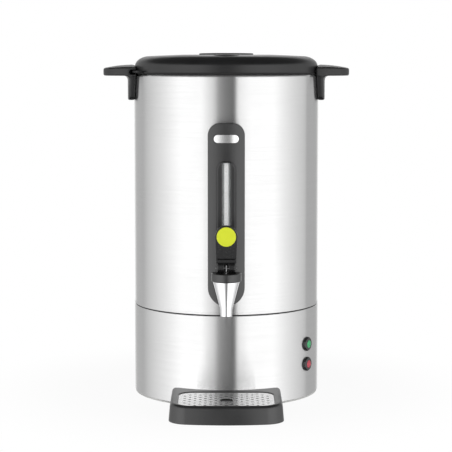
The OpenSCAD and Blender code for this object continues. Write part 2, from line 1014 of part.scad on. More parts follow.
// outline of a handle's leg from the side
function leg_outline() = concat(
    [[leg_top_w / 2, wing_z + over]],
    arc([leg_low_w / 2 - leg_corner, leg_z + leg_corner], leg_corner, leg_corner, 0, -90, 6),
    arc([leg_corner - leg_low_w / 2, leg_z + leg_corner], leg_corner, leg_corner, -90, -180, 6),
    [[-leg_top_w / 2, wing_z + over]]
);

// the right-hand handle: the slot for the lid's lug is open to the back
module handle() {
    difference() {
        union() {
            intersection() {
                translate([0, 0, wing_z])
                    linear_extrude(height = wing_h)
                        polygon(wing_outline());
                translate([tank_r, 0, wing_top - wing_crown_r])
                    sphere(wing_crown_r);
            }
            intersection() {
                union() {
                    ring(tank_r - over, tank_r + leg_t, leg_z - over, leg_h + 2 * over);
                    rotate_extrude()
                        translate([tank_r + leg_t, wing_z - leg_fillet])
                            difference() {
                                translate([-over, 0])
                                    square([leg_fillet + over, leg_fillet + over / 2]);
                                translate([leg_fillet, 0])
                                    circle(leg_fillet);
                            }
                }
                rotate([90, 0, 90])
                    linear_extrude(height = tank_r + handle_reach)
                        polygon(leg_outline());
            }
        }
        translate([0, 0, leg_z - over])
            cylinder(r = tank_r + touch, h = leg_h + wing_h + 2 * over);
        ring_part(tank_r - over, tank_r + slot_reach, slot_z, slot_h, -lug_half - 1.5, 60);
        for (turn = [-handle_screw_turn, handle_screw_turn])
            radial(turn, tank_r - over, tank_r + screw_in + 0.2, handle_screw_z, screw_r + touch);
    }
}

module right_handle() {
    color(black)
        handle();
}

module left_handle() {
    color(black)
        rotate([0, 0, 180])
            handle();
}

module lid_seal() {
    color(rubber)
        ring(seal_in_r, seal_out_r, seal_z, seal_t);
}

module lid() {
    color(black)
        difference() {
            union() {
                rotate_extrude() {
                    difference() {
                        polygon(lid_outline(lid_z));
                        polygon(lid_hollow());
                    }
                    intersection() {
                        polygon(lid_outline(lid_z));
                        translate([0, knob_floor - lid_wall])
                            square([knob_well_r + lid_wall, knob_well_depth + 2 * lid_wall]);
                    }
                    intersection() {
                        polygon(lid_outline(spigot_z));
                        translate([spigot_r - spigot_t, spigot_z])
                            square([spigot_t, shoulder_z - spigot_z]);
                    }
                }
                intersection() {
                    rotate_extrude()
                        polygon(lid_outline(lid_z));
                    translate([0, -vent_r, vent_z + dish_drop - dish_r - lid_wall])
                        cylinder(r = vent_d / 2 + 2, h = dish_r);
                }
                for (side = [0, 180])
                    ring_part(lid_r - over, lug_r, lid_z, lug_t,
                        side + lock_angle - lug_half, side + lock_angle + lug_half);
            }
            translate([0, 0, knob_floor])
                cylinder(r = knob_well_r, h = 40);
            translate([0, -vent_r, vent_z + dish_drop])
                sphere(dish_r);
            for (a = [0:60:300])
                translate([7 * cos(a), -vent_r + 7 * sin(a), lid_z])
                    cylinder(r = 1.5, h = 40);
            translate([0, 0, lid_z])
                cylinder(r = knob_screw_r + slide_gap, h = 40);
        }
}

module lid_knob() {
    color(black)
        difference() {
            rotate_extrude()
                polygon(concat(
                    [[0, knob_floor + touch], [knob_stem_r, knob_floor + touch]],
                    [[knob_stem_r, knob_top - knob_t]],
                    arc([knob_r - 2, knob_top - knob_t + 2], 2, 2, -90, 0, 4),
                    arc([knob_r - 1.2, knob_top - 1.2], 1.2, 1.2, 0, 90, 4),
                    [[0, knob_top]]
                ));
            translate([0, 0, knob_floor - over])
                cylinder(r = knob_screw_r + touch, h = 10 + over);
        }
}

module knob_screw() {
    color(steel) {
        translate([0, 0, knob_floor - lid_wall - touch - 3])
            cylinder(r = 2 * knob_screw_r, h = 3);
        translate([0, 0, knob_floor - lid_wall - over])
            cylinder(r = knob_screw_r, h = lid_wall + over + 9);
    }
}

module pump_foot() {
    color(steel)
        difference() {
            rotate_extrude()
                polygon([
                    [bell_r - bell_wall, bell_z], [bell_r, bell_z], [bell_r, bell_z + bell_skirt],
                    [riser_r + bell_wall, bell_z + bell_neck], [riser_r + bell_wall, bell_z + bell_h],
                    [riser_r + touch, bell_z + bell_h], [riser_r + touch, bell_z + bell_neck - bell_wall],
                    [bell_r - bell_wall, bell_z + bell_skirt - bell_wall]
                ]);
            for (a = [0:60:300])
                rotate([0, 0, a])
                    translate([bell_r - 4, -3, bell_z - over])
                        cube([8, 6, 3 + over]);
        }
}

module riser_tube() {
    color(steel)
        rotate_extrude() {
            translate([riser_r - riser_wall, riser_low])
                square([riser_wall, riser_top - riser_low]);
            translate([riser_r - riser_wall / 2, collar_ring_z - collar_ring_t])
                square([collar_ring_r - riser_r + riser_wall / 2, collar_ring_t]);
        }
}

module basket_sleeve() {
    color(steel)
        ring(sleeve_r, sleeve_r + sleeve_wall, sleeve_z, basket_z + sleeve_h - sleeve_z);
}

// rings of holes: each entry is a radius and a number of holes
module hole_rings(rings, r) {
    for (h = rings)
        for (i = [0:h[1] - 1])
            rotate(i * 360 / h[1])
                translate([h[0], 0])
                    circle(r);
}

module basket_floor() {
    color(steel)
        translate([0, 0, basket_z + touch])
            linear_extrude(height = 1.2)
                difference() {
                    circle(basket_r - sheet_t - touch);
                    circle(sleeve_r + sleeve_wall + touch);
                    hole_rings([[20, 8], [34, 14], [48, 20], [62, 26]], 1.6);
                }
}

module basket_wall() {
    color(steel)
        rotate_extrude() {
            translate([basket_r - sheet_t, basket_z - sheet_t])
                square([sheet_t, basket_h + sheet_t]);
            translate([basket_r - basket_seat, basket_z - sheet_t])
                square([basket_seat, sheet_t]);
            translate([basket_r - sheet_t, basket_top - 2])
                square([sheet_t + basket_lip, 2]);
        }
}

module spreader() {
    color(steel) {
        translate([0, 0, spreader_z])
            linear_extrude(height = sheet_t)
                difference() {
                    circle(spreader_r);
                    circle(sleeve_r);
                    hole_rings([[22, 8], [40, 12], [58, 18], [76, 24]], 1.6);
                }
        ring(spreader_r - sheet_t, spreader_r, spreader_z - spreader_rim, spreader_rim + sheet_t / 2);
    }
}

// outline of the column from the front, smaller by a margin all round
module column_outline(m) {
    translate([0, shank_z])
        circle(column_r - m);
    translate([m - column_r, shank_z])
        square([column_w - 2 * m, column_top - column_corner - shank_z]);
    translate([column_corner - column_r, column_top - column_corner - over])
        square([column_w - 2 * column_corner, column_corner - m + over]);
    for (s = [-1, 1])
        translate([s * (column_r - column_corner), column_top - column_corner])
            circle(column_corner - m);
}

// the space between the tank and a bowed face at a distance in front of the tank's axis
module column_space(front, bow) {
    intersection() {
        upright(tank_r - 20, front + over)
            children();
        translate([0, bow - front, 0])
            cylinder(r = bow, h = column_top + over);
    }
}

module front_column() {
    color(black)
        difference() {
            union() {
                difference() {
                    column_space(column_front, column_bow)
                        column_outline(0);
                    column_space(column_front - column_wall, column_bow - column_wall)
                        column_outline(column_wall);
                }
                column_space(column_front - column_wall / 2, column_bow)
                    translate([-liner_r, liner_low])
                        square([2 * liner_r, recess_top + 4 - liner_low]);
                column_space(column_front - column_wall / 2, column_bow)
                    translate([0, column_screw_z])
                        circle(column_boss_r);
            }
            translate([0, 0, column_z - over])
                cylinder(r = tank_r + touch, h = column_h + 2 * over);
            upright(column_front - recess_depth, column_front + over) {
                translate([-recess_w / 2, recess_low])
                    square([recess_w, recess_top - recess_w / 2 - recess_low]);
                translate([0, recess_top - recess_w / 2])
                    circle(recess_w / 2);
            }
            upright(-channel_y, column_front - recess_depth + over)
                translate([-channel_r, liner_low - over])
                    square([2 * channel_r, tube_top - liner_low + over]);
            upright(-channel_y, -tube_y)
                translate([-channel_r, tube_top - over])
                    square([2 * channel_r, channel_top - tube_top + over]);
            translate([0, tube_y, liner_low - over])
                cylinder(r = channel_r, h = channel_top - liner_low + over);
            radial(-90, tank_r, column_front + over, shank_z, shank_r + slide_gap);
            radial(-90, tank_r - over, tank_r + screw_in + 0.2, column_screw_z, screw_r + touch);
            badge_shell(touch);
        }
}

// a thin oval shell on the column's bowed face
module badge_shell(grow) {
    intersection() {
        upright(column_front - 8, column_front + 4)
            translate([0, badge_z])
                stadium(badge_w + 2 * grow, badge_h + 2 * grow);
        translate([0, column_bow - column_front, badge_z - badge_h])
            difference() {
                cylinder(r = column_bow + badge_out, h = 2 * badge_h);
                translate([0, 0, -over])
                    cylinder(r = column_bow + badge_out - badge_t - grow, h = 2 * badge_h + 2 * over);
            }
    }
}

module badge_plate() {
    color(chrome)
        badge_shell(0);
}

module gauge_tube() {
    color(glass)
        translate([0, tube_y, 0])
            ring(tube_r - 1.5, tube_r, tube_low + touch, tube_top - tube_low - touch);
}

module gauge_strip() {
    color(white)
        translate([-strip_w / 2, channel_y - strip_t - touch, strip_low])
            cube([strip_w, strip_t, tube_top - strip_low]);
}

module gauge_cap() {
    color(rubber)
        translate([0, tube_y, tube_top + touch])
            cylinder(r = tube_r, h = 5);
}

module gauge_seal() {
    color(silicone)
        translate([0, tube_y, 0])
            ring(tube_r + touch, socket_r, socket_top + touch, 2.5);
}

// fitting that joins the sight tube to the shank
module gauge_socket() {
    color(chrome)
        difference() {
            union() {
                translate([0, tube_y, shank_z])
                    cylinder(r = socket_r, h = socket_top - shank_z);
                translate([0, tube_y + socket_r, shank_z])
                    rotate([90, 0, 0])
                        cylinder(r = shank_washer_r, h = socket_front + tube_y + socket_r);
            }
            radial(-90, tank_r - over, column_front, shank_z, shank_r + touch);
            translate([0, tube_y, tube_low])
                cylinder(r = tube_r + touch, h = 30);
            translate([0, tube_y, shank_z])
                cylinder(r = 3, h = 30);
        }
}

module tap_shank() {
    color(chrome)
        difference() {
            radial(-90, shank_back, shank_front, shank_z, shank_r);
            radial(-90, shank_back - over, shank_front + over, shank_z, shank_bore);
            translate([0, tube_y, shank_z])
                cylinder(r = 3, h = 20);
        }
}

module shank_nut() {
    color(steel)
        difference() {
            rotate([0, 0, -90])
                translate([nut_seat - nut_washer_t - nut_t - touch, 0, shank_z])
                    rotate([0, 90, 0])
                        cylinder(r = nut_r, h = nut_t, $fn = 6);
            radial(-90, shank_back, tank_r, shank_z, shank_r + touch);
        }
}

module shank_seals() {
    color(silicone)
        difference() {
            union() {
                radial(-90, nut_seat - nut_washer_t, nut_seat, shank_z, nut_washer_r);
                radial(-90, tank_r + touch, tank_r + touch + shank_washer_t, shank_z, shank_washer_r);
            }
            radial(-90, shank_back, tank_r + 4, shank_z, shank_r + touch);
        }
}

module spout() {
    color(chrome)
        difference() {
            union() {
                translate([0, tap_y, 0])
                    rotate_extrude()
                        polygon([
                            [0, spout_z], [spout_r - 0.6, spout_z], [spout_r, spout_z + 0.6],
                            [spout_r, spout_cone_z], [spout_top_r, spout_top],
                            [neck_r, spout_top], [neck_r, spout_top + neck_h], [0, spout_top + neck_h]
                        ]);
                radial(-90, column_front + 0.5, -tap_y, shank_z, boss_r);
            }
            translate([0, tap_y, 0])
                rotate_extrude()
                    polygon([
                        [0, spout_z - over], [throat_r, spout_z - over], [throat_r, seat_z],
                        [chamber_r, seat_z + chamber_h], [chamber_r, spout_top + neck_h + over],
                        [0, spout_top + neck_h + over]
                    ]);
            radial(-90, column_front - over, -tap_y, shank_z, shank_bore);
            radial(-90, column_front - over, shank_front + touch, shank_z, shank_r + touch);
        }
}

module tap_collar() {
    color(black)
        translate([0, tap_y, 0])
            rotate_extrude()
                polygon([
                    [stem_r + 0.2, collar_roof], [neck_r + touch, collar_roof], [neck_r + touch, collar_z],
                    [collar_r - 0.8, collar_z], [collar_r, collar_z + 0.8], [collar_r, collar_top - 1.2],
                    [collar_r - 1.2, collar_top], [stem_r + 0.2, collar_top]
                ]);
}

module tap_spring() {
    color(steel)
        translate([0, tap_y, 0])
            skin(helix_rings(spring_r, spring_wire, spring_turns, spring_low, spring_top));
}

module tap_stem() {
    color(steel)
        difference() {
            translate([0, tap_y, plug_z + 2])
                cylinder(r = stem_r, h = stem_top - plug_z - 2);
            translate([-over - stem_r, tap_y, pivot_z])
                rotate([0, 90, 0])
                    cylinder(r = pin_r * 0.6 + touch, h = 2 * (stem_r + over));
        }
}

module seat_plug() {
    color(silicone)
        translate([0, tap_y, 0])
            difference() {
                rotate_extrude()
                    polygon([
                        [0, plug_z - 2.4], [throat_r - 0.7, plug_z - 2.4], [chamber_r - 1, plug_z],
                        [chamber_r - 0.8, plug_z + 1], [chamber_r - 0.8, plug_z + 4],
                        [chamber_r - 2.5, plug_z + plug_h], [0, plug_z + plug_h]
                    ]);
                translate([0, 0, plug_z + 2 - touch])
                    cylinder(r = stem_r + touch, h = 20);
            }
}

module lever_pin() {
    color(steel)
        translate([0, tap_y, pivot_z])
            rotate([0, 90, 0]) {
                translate([0, 0, -stem_r - over])
                    cylinder(r = pin_r * 0.6, h = 2 * (stem_r + over));
                for (s = [0, 180])
                    rotate([s, 0, 0])
                        translate([0, 0, stem_r + over / 2])
                            cylinder(r = pin_r, h = paddle_r - stem_r - over);
            }
}

// outline of the paddle from the side, as distances from the pivot
function paddle_side() =
    let (top = paddle_mid + paddle_r, back = (top - lip_z) * tan(face_lean)) [
        [lip_y + 0.2, lip_z - lip_t], [lip_y, lip_z - 1], [lip_y, lip_z],
        [lip_y + back, top], [lip_y + back + 7, top],
        [eye_r - 1, 3], [0, 0], [cam_y - 4, cam_z + 4], [cam_y - 5, lip_z - 5]
    ];

// a side outline, as distances from the pivot, made solid across a width
module lever_solid(w) {
    translate([-w / 2, tap_y, pivot_z])
        rotate([90, 0, 90])
            linear_extrude(height = w)
                children();
}

// front outline of the lever, as distances from its pivot
module lever_front() {
    translate([0, paddle_mid])
        circle(paddle_r);
    polygon([
        [-paddle_r, paddle_mid], [-paddle_r + 1.4, 4], [-paddle_r + 1.4, -cam_r],
        [paddle_r - 1.4, -cam_r], [paddle_r - 1.4, 4], [paddle_r, paddle_mid]
    ]);
}

module lever_face() {
    translate([0, tap_y + lip_y + (paddle_mid - lip_z) * tan(face_lean), pivot_z + paddle_mid])
        rotate([90 - face_lean, 0, 0])
            children();
}

module tap_lever() {
    color(black)
        difference() {
            intersection() {
                union() {
                    lever_solid(paddle_w)
                        polygon(paddle_side());
                    lever_solid(paddle_w)
                        translate([cam_y, cam_z])
                            circle(cam_r);
                    lever_solid(paddle_w)
                        circle(eye_r);
                }
                translate([0, 0, pivot_z])
                    upright(-tap_y - 20, -tap_y + 30)
                        lever_front();
            }
            lever_solid(stem_slot)
                circle(eye_r + 0.4);
            lever_solid(stem_slot)
                polygon([[-24, -20], [eye_r + 0.4, -20], [eye_r + 0.4, 0], [0, 6], [-24, 8.5]]);
            for (s = [-1, 1])
                translate([s * (hub_w + 4) / 2 - 2, tap_y - 30, pivot_z - 10])
                    cube([4, 30 + cam_y - cam_r + 3, lip_z + 6]);
            translate([-paddle_r - over, tap_y, pivot_z])
                rotate([0, 90, 0])
                    cylinder(r = pin_r + pin_gap, h = paddle_w + 2 * over);
            lever_face()
                translate([0, 0, -0.4])
                    cylinder(r = disc_d / 2 + touch, h = 2);
        }
}

module lever_disc() {
    color(yellow)
        lever_face()
            translate([0, 0, -0.4 + touch])
                cylinder(r = disc_d / 2, h = 0.8);
}

module drip_tray() {
    color(black)
        difference() {
            intersection() {
                linear_extrude(height = tray_h)
                    difference() {
                        union() {
                            translate([tray_corner - tray_side, -tray_front])
                                square([tray_w - 2 * tray_corner, tray_front - tray_rear]);
                            translate([-tray_side, tray_corner - tray_front])
                                square([tray_w, tray_front - tray_rear - tray_corner - tray_rear_corner]);
                            for (s = [-1, 1]) {
                                translate([s * (tray_side - tray_corner), tray_corner - tray_front])
                                    circle(tray_corner);
                                translate([s * (tray_side - tray_rear_corner), -tray_rear])
                                    translate([0, -tray_rear_corner])
                                        circle(tray_rear_corner);
                            }
                        }
                        circle(skirt_r + tray_gap);
                    }
                upright(tray_rear - 20, tray_front + over)
                    tray_front_view();
                translate([-tray_side - over, 0, 0])
                    rotate([90, 0, 90])
                        linear_extrude(height = tray_w + 2 * over)
                            tray_side_view();
            }
            translate([0, grille_y, seat_h])
                linear_extrude(height = tray_h)
                    round_plate(grille_w, grille_l, grille_corner);
            translate([0, grille_y, tray_floor])
                linear_extrude(height = tray_h)
                    round_plate(grille_w - 2 * seat_w, grille_l - 2 * seat_w, grille_corner - seat_w);
        }
}

// outline of the tray from the front
module tray_front_view() {
    polygon(concat(
        [[-tray_side, 0], [tray_side, 0]],
        arc([tray_side - tray_draft - 3, tray_h - 3], 3, 3, 5, 90, 6),
        arc([3 + tray_draft - tray_side, tray_h - 3], 3, 3, 90, 175, 6)
    ));
}

// outline of the tray from the side
module tray_side_view() {
    polygon(concat(
        [[-tray_rear + 20, 0], [-tray_rear + 20, tray_h]],
        arc([tray_edge + 3 - tray_front, tray_h - tray_edge], tray_edge, tray_edge, 90, 170, 8),
        [[-tray_front, 0]]
    ));
}

module drip_grille() {
    color(steel)
        translate([0, 0, grille_top - grille_t])
            linear_extrude(height = grille_t)
                difference() {
                    translate([0, grille_y])
                        round_plate(
                            grille_w - 2 * loose_gap, grille_l - 2 * loose_gap, grille_corner - loose_gap
                        );
                    translate([0, finger_y])
                        circle(finger_r);
                    for (i = [-8:8], j = [-3:2])
                        let (
                            x = i * hole_dx,
                            y = (j + (1 - abs(i) % 2) / 2) * hole_dy,
                            past_x = max(abs(x) - grille_w / 2 + grille_corner, 0),
                            past_y = max(abs(y) - grille_l / 2 + grille_corner, 0),
                            to_finger = norm([x, grille_y + y - finger_y])
                        )
                        if (norm([past_x, past_y]) < grille_corner - hole_rim && to_finger > finger_r + 3.5)
                            translate([x, grille_y + y])
                                circle(hole_r);
                }
}

tank();
base_skirt();
seam_gasket();
base_plate();
foot_ring();
foot_screws();
tie_studs();
tie_nuts();
boil_element();
warm_element();
thermostat();
thermal_cutout();
terminal_block();
wiring();
inlet_socket();
inlet_pins();
inlet_screws();
left_handle();
right_handle();
wall_screws();
wall_washers();
front_column();
badge_plate();
gauge_tube();
gauge_strip();
gauge_cap();
gauge_seal();
gauge_socket();
tap_shank();
shank_nut();
shank_seals();
spout();
tap_collar();
tap_spring();
tap_stem();
seat_plug();
lever_pin();
tap_lever();
lever_disc();
green_bezel();
green_cap();
green_switch();
red_bezel();
red_cap();
red_switch();
button_nuts();
drip_tray();
drip_grille();
lid_seal();
lid();
lid_knob();
knob_screw();
pump_foot();
riser_tube();
basket_sleeve();
basket_floor();
basket_wall();
spreader();
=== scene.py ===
"""The looks of a steel percolator coffee urn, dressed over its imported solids.

Sizes are in millimetres and become metres when a mesh is made. The tank's axis is Z, the tap faces -Y
and the floor is z = 0.
"""
import logging
import math
from dataclasses import dataclass
from enum import Enum
from functools import cache
from typing import Sequence

import bmesh
import bpy
from mathutils import Matrix, Vector


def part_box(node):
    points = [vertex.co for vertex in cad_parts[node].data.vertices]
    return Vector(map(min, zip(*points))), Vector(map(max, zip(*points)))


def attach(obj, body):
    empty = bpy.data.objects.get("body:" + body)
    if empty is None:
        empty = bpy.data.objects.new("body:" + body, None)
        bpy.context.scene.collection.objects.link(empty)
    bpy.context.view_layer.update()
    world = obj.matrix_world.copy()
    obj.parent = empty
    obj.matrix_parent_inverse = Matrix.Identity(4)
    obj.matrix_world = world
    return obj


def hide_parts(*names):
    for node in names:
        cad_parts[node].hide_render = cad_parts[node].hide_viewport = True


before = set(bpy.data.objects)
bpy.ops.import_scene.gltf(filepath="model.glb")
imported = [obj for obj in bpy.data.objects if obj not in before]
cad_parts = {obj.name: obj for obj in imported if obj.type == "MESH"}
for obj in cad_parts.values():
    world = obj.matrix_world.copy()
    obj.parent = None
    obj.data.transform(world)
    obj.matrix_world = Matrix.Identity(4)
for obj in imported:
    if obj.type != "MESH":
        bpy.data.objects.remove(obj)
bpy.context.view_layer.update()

# Metres in a millimetre.
MM = 0.001
# Angle between two faces that stays sharp, in degrees.
CREASE = 32.0
# Points closer than this become one after a cut, in metres.
WELD = 1e-7
# Radius under which a point lies on a lathe's axis, in millimetres.
ON_AXIS = 1e-6
# How far a cutting tool reaches past a piece, in millimetres.
OVERCUT = 1.0
# Range that holds most values of a noise.
NOISE_LOW, NOISE_HIGH = 0.3, 0.7
# Radius at which polishing lines wrap round the urn, in metres.
WRAP_RADIUS = 0.134
LOG = logging.getLogger("urn")

Point = tuple[float, float]
Corner = tuple[float, float, float]
Colour = tuple[float, float, float]
Socket = bpy.types.NodeSocket
Object = bpy.types.Object


class Operation(Enum):
    """What a tool does to a piece."""

    CUT = "DIFFERENCE"
    JOIN = "UNION"


class Brush(Enum):
    """Which way a metal's polishing lines run, by the axis that their direction is taken from."""

    ROUND = "Z"
    ACROSS = "X"


class Side(Enum):
    """The two sides of the urn, as its user names them."""

    LEFT = "left"
    RIGHT = "right"


def node_box(node: str) -> tuple[Vector, Vector]:
    """Lowest and highest corner of a CAD node, in millimetres."""
    low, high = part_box(node)
    return low / MM, high / MM


def node_centre(node: str) -> Vector:
    """Centre of a CAD node's box, in millimetres."""
    low, high = node_box(node)
    return (low + high) / 2


def arc(centre: Point, radii: Point, start: float, end: float, steps: int = 24) -> list[Point]:
    """Points of an elliptic arc.

    Args:
        centre: Centre of the arc.
        radii: Half axes of the ellipse.
        start: First angle, in degrees.
        end: Last angle, in degrees.
        steps: Number of chords.

    Returns:
        The points in order.
    """
    angles = [math.radians(start + (end - start) * i / steps) for i in range(steps + 1)]
    return [(centre[0] + radii[0] * math.cos(a), centre[1] + radii[1] * math.sin(a)) for a in angles]


def rounded(corners: Sequence[Corner], closed: bool = False, step: float = 9.0) -> list[Point]:
    """Rounds the corners of a line.

    Args:
        corners: Place and rounding radius of each corner.
        closed: True where the last corner joins the first.
        step: Largest turn between two points of an arc, in degrees.

    Returns:
        The points of the rounded line.
    """
    points: list[Point] = []
    count = len(corners)
    for i, (x, y, radius) in enumerate(corners):
        if radius <= 0 or (not closed and i in (0, count - 1)):
            points.append((x, y))
            continue
        here = Vector((x, y))
        back = (Vector(corners[i - 1][:2]) - here).normalized()
        ahead = (Vector(corners[(i + 1) % count][:2]) - here).normalized()
        half = back.angle(ahead) / 2
        centre = here + (back + ahead).normalized() * radius / math.sin(half)
        first = here + back * radius / math.tan(half) - centre
        last = here + ahead * radius / math.tan(half) - centre
        turn = math.copysign(math.pi - 2 * half, first.x * last.y - first.y * last.x)
        steps = max(2, math.ceil(math.degrees(abs(turn)) / step))
        for k in range(steps + 1):
            spoke = Matrix.Rotation(turn * k / steps, 2) @ first
            points.append((centre.x + spoke.x, centre.y + spoke.y))
    return points


def add_object(name: str, data: bpy.types.ID) -> Object:
    """Makes an object and links it to the scene.

    Args:
        name: Name of the object.
        data: Its mesh, lamp or camera.

    Returns:
        The object.
    """
    made = bpy.data.objects.new(name, data)
    bpy.context.scene.collection.objects.link(made)
    return made


def store(mesh: bmesh.types.BMesh, data: bpy.types.Mesh) -> None:
    """Stores a mesh, shaded smooth except where it turns sharply.

    Args:
        mesh: The mesh, in metres, which is freed.
        data: Where it is stored.
    """
    for face in mesh.faces:
        face.smooth = True
    for edge in mesh.edges:
        edge.smooth = edge.calc_face_angle(0.0) < math.radians(CREASE)
    mesh.to_mesh(data)
    mesh.free()


def as_object(name: str, mesh: bmesh.types.BMesh) -> Object:
    """Makes an object of a mesh.

    Args:
        name: Name of the object.
        mesh: The mesh, in metres, which is freed.

    Returns:
        The object, linked to the scene.
    """
    bmesh.ops.recalc_face_normals(mesh, faces=mesh.faces)
    data = bpy.data.meshes.new(name)
    store(mesh, data)
    return add_object(name, data)


def lathe(name: str, profile: Sequence[Point], closed: bool = False, place: Matrix = Matrix(),
          segments: int = 160) -> Object:
    """Turns a profile about an axis.

    Args:
        name: Name of the object.
        profile: Radius and height of each point.
        closed: True where the last point joins the first, as on a ring.
        place: Where the axis lies, in millimetres.
        segments: Number of steps round the axis.

    Returns:
        The turned object.
    """
    mesh = bmesh.new()
    spokes = [2 * math.pi * k / segments for k in range(segments)]
    rings = [
        [mesh.verts.new((r * math.cos(a), r * math.sin(a), z)) for a in (spokes if r > ON_AXIS else [0.0])]
        for r, z in profile
    ]
    for low, high in zip(rings, rings[1:] + (rings[:1] if closed else [])):
        for k in range(segments):
            ahead = (k + 1) % segments
            corners = [ring[i % len(ring)] for ring, i in ((low, k), (low, ahead), (high, ahead), (high, k))]
            corners = list(dict.fromkeys(corners))
            if len(corners) > 2:
                mesh.faces.new(corners)
    mesh.transform(Matrix.Scale(MM, 4) @ place)
    return as_object(name, mesh)


def drum(name: str, radius: float, low: float, high: float, place: Matrix = Matrix(),
         segments: int = 64) -> Object:
    """A plain cylinder, used as a tool on another piece."""
    return lathe(name, [(0, low), (radius, low), (radius, high), (0, high)], place=place, segments=segments)


def loft(name: str, rings: Sequence[Sequence[Corner]]) -> Object:
    """Joins closed rings of equally many points and closes both ends.

    Args:
        name: Name of the object.
        rings: Points of each ring, in millimetres.

    Returns:
        The closed solid.
    """
    mesh = bmesh.new()
    loops = [[mesh.verts.new(point) for point in ring] for ring in rings]
    for low, high in zip(loops, loops[1:]):
        for k in range(len(low)):
            ahead = (k + 1) % len(low)
            mesh.faces.new([low[k], low[ahead], high[ahead], high[k]])
    mesh.faces.new(loops[0])
    mesh.faces.new(loops[-1])
    mesh.transform(Matrix.Scale(MM, 4))
    return as_object(name, mesh)


def sector(name: str, radii: Point, heights: Point, angles: Point, steps: int = 12) -> Object:
    """A part of a ring about the tank's axis.

    Args:
        name: Name of the object.
        radii: Inner and outer radius.
        heights: Lower and upper height.
        angles: First and last angle, in degrees.
        steps: Number of steps along the ring.

    Returns:
        The closed solid.
    """
    section = [(radii[0], heights[0]), (radii[1], heights[0]), (radii[1], heights[1]), (radii[0], heights[1])]
    spokes = [math.radians(angles[0] + (angles[1] - angles[0]) * k / steps) for k in range(steps + 1)]
    return loft(name, [[(r * math.cos(a), r * math.sin(a), z) for r, z in section] for a in spokes])


def settle(piece: Object) -> Object:
    """Applies a piece's modifiers to its mesh.

    Args:
        piece: The piece.

    Returns:
        The piece, without modifiers.
    """
    graph = bpy.context.evaluated_depsgraph_get()
    made = bpy.data.meshes.new_from_object(piece.evaluated_get(graph))
    piece.modifiers.clear()
    piece.data = made
    return piece


def work(piece: Object, tool: Object, operation: Operation) -> Object:
    """Cuts a tool out of a piece, or joins it on, and removes the tool.

    Args:
        piece: The piece that changes.
        tool: The tool's closed solid.
        operation: What the tool does.

    Returns:
        The piece.
    """
    step = piece.modifiers.new(operation.name, "BOOLEAN")
    step.operation = operation.value
    step.object = tool
    step.solver = "EXACT"
    settle(piece)
    bpy.data.objects.remove(tool)
    mesh = bmesh.new()
    mesh.from_mesh(piece.data)
    bmesh.ops.remove_doubles(mesh, verts=mesh.verts, dist=WELD)
    store(mesh, piece.data)
    return piece


@dataclass(frozen=True)
class Mould:
    """How a mould rounds the sharp edges of a CAD node.

    Attributes:
        grid: Distance between the points of the surface, in millimetres.
        passes: How often the edges are eased.
        ease: How strongly one pass eases them.
        keep: Share of the faces that is kept in the end.
    """

    grid: float
    passes: int
    ease: float = 0.5
    keep: float = 0.4

    def copy(self, name: str, node: str) -> Object:
        """Makes a rounded copy of a CAD node.

        Args:
            name: Name of the copy.
            node: The CAD node.

        Returns:
            The copy.
        """
        piece = add_object(name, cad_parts[node].data.copy())
        piece.data.materials.clear()
        grown = piece.modifiers.new("grid", "REMESH")
        grown.mode = "VOXEL"
        grown.voxel_size = self.grid * MM
        eased = piece.modifiers.new("ease", "SMOOTH")
        eased.factor = self.ease
        eased.iterations = self.passes
        fewer = piece.modifiers.new("fewer", "DECIMATE")
        fewer.ratio = self.keep
        settle(piece)
        for face in piece.data.polygons:
            face.use_smooth = True
        return piece


def outward(azimuth: float, radius: float, height: float) -> Matrix:
    """A place on an upright cylinder whose Z axis points away from the urn's axis.

    Args:
        azimuth: Angle round the urn from its front towards +X, in degrees.
        radius: Distance from the axis.
        height: Height above the floor.

    Returns:
        The place, in millimetres.
    """
    turn = Matrix.Rotation(math.radians(azimuth), 4, "Z")
    return turn @ Matrix.Translation((0, -radius, height)) @ Matrix.Rotation(math.pi / 2, 4, "X")


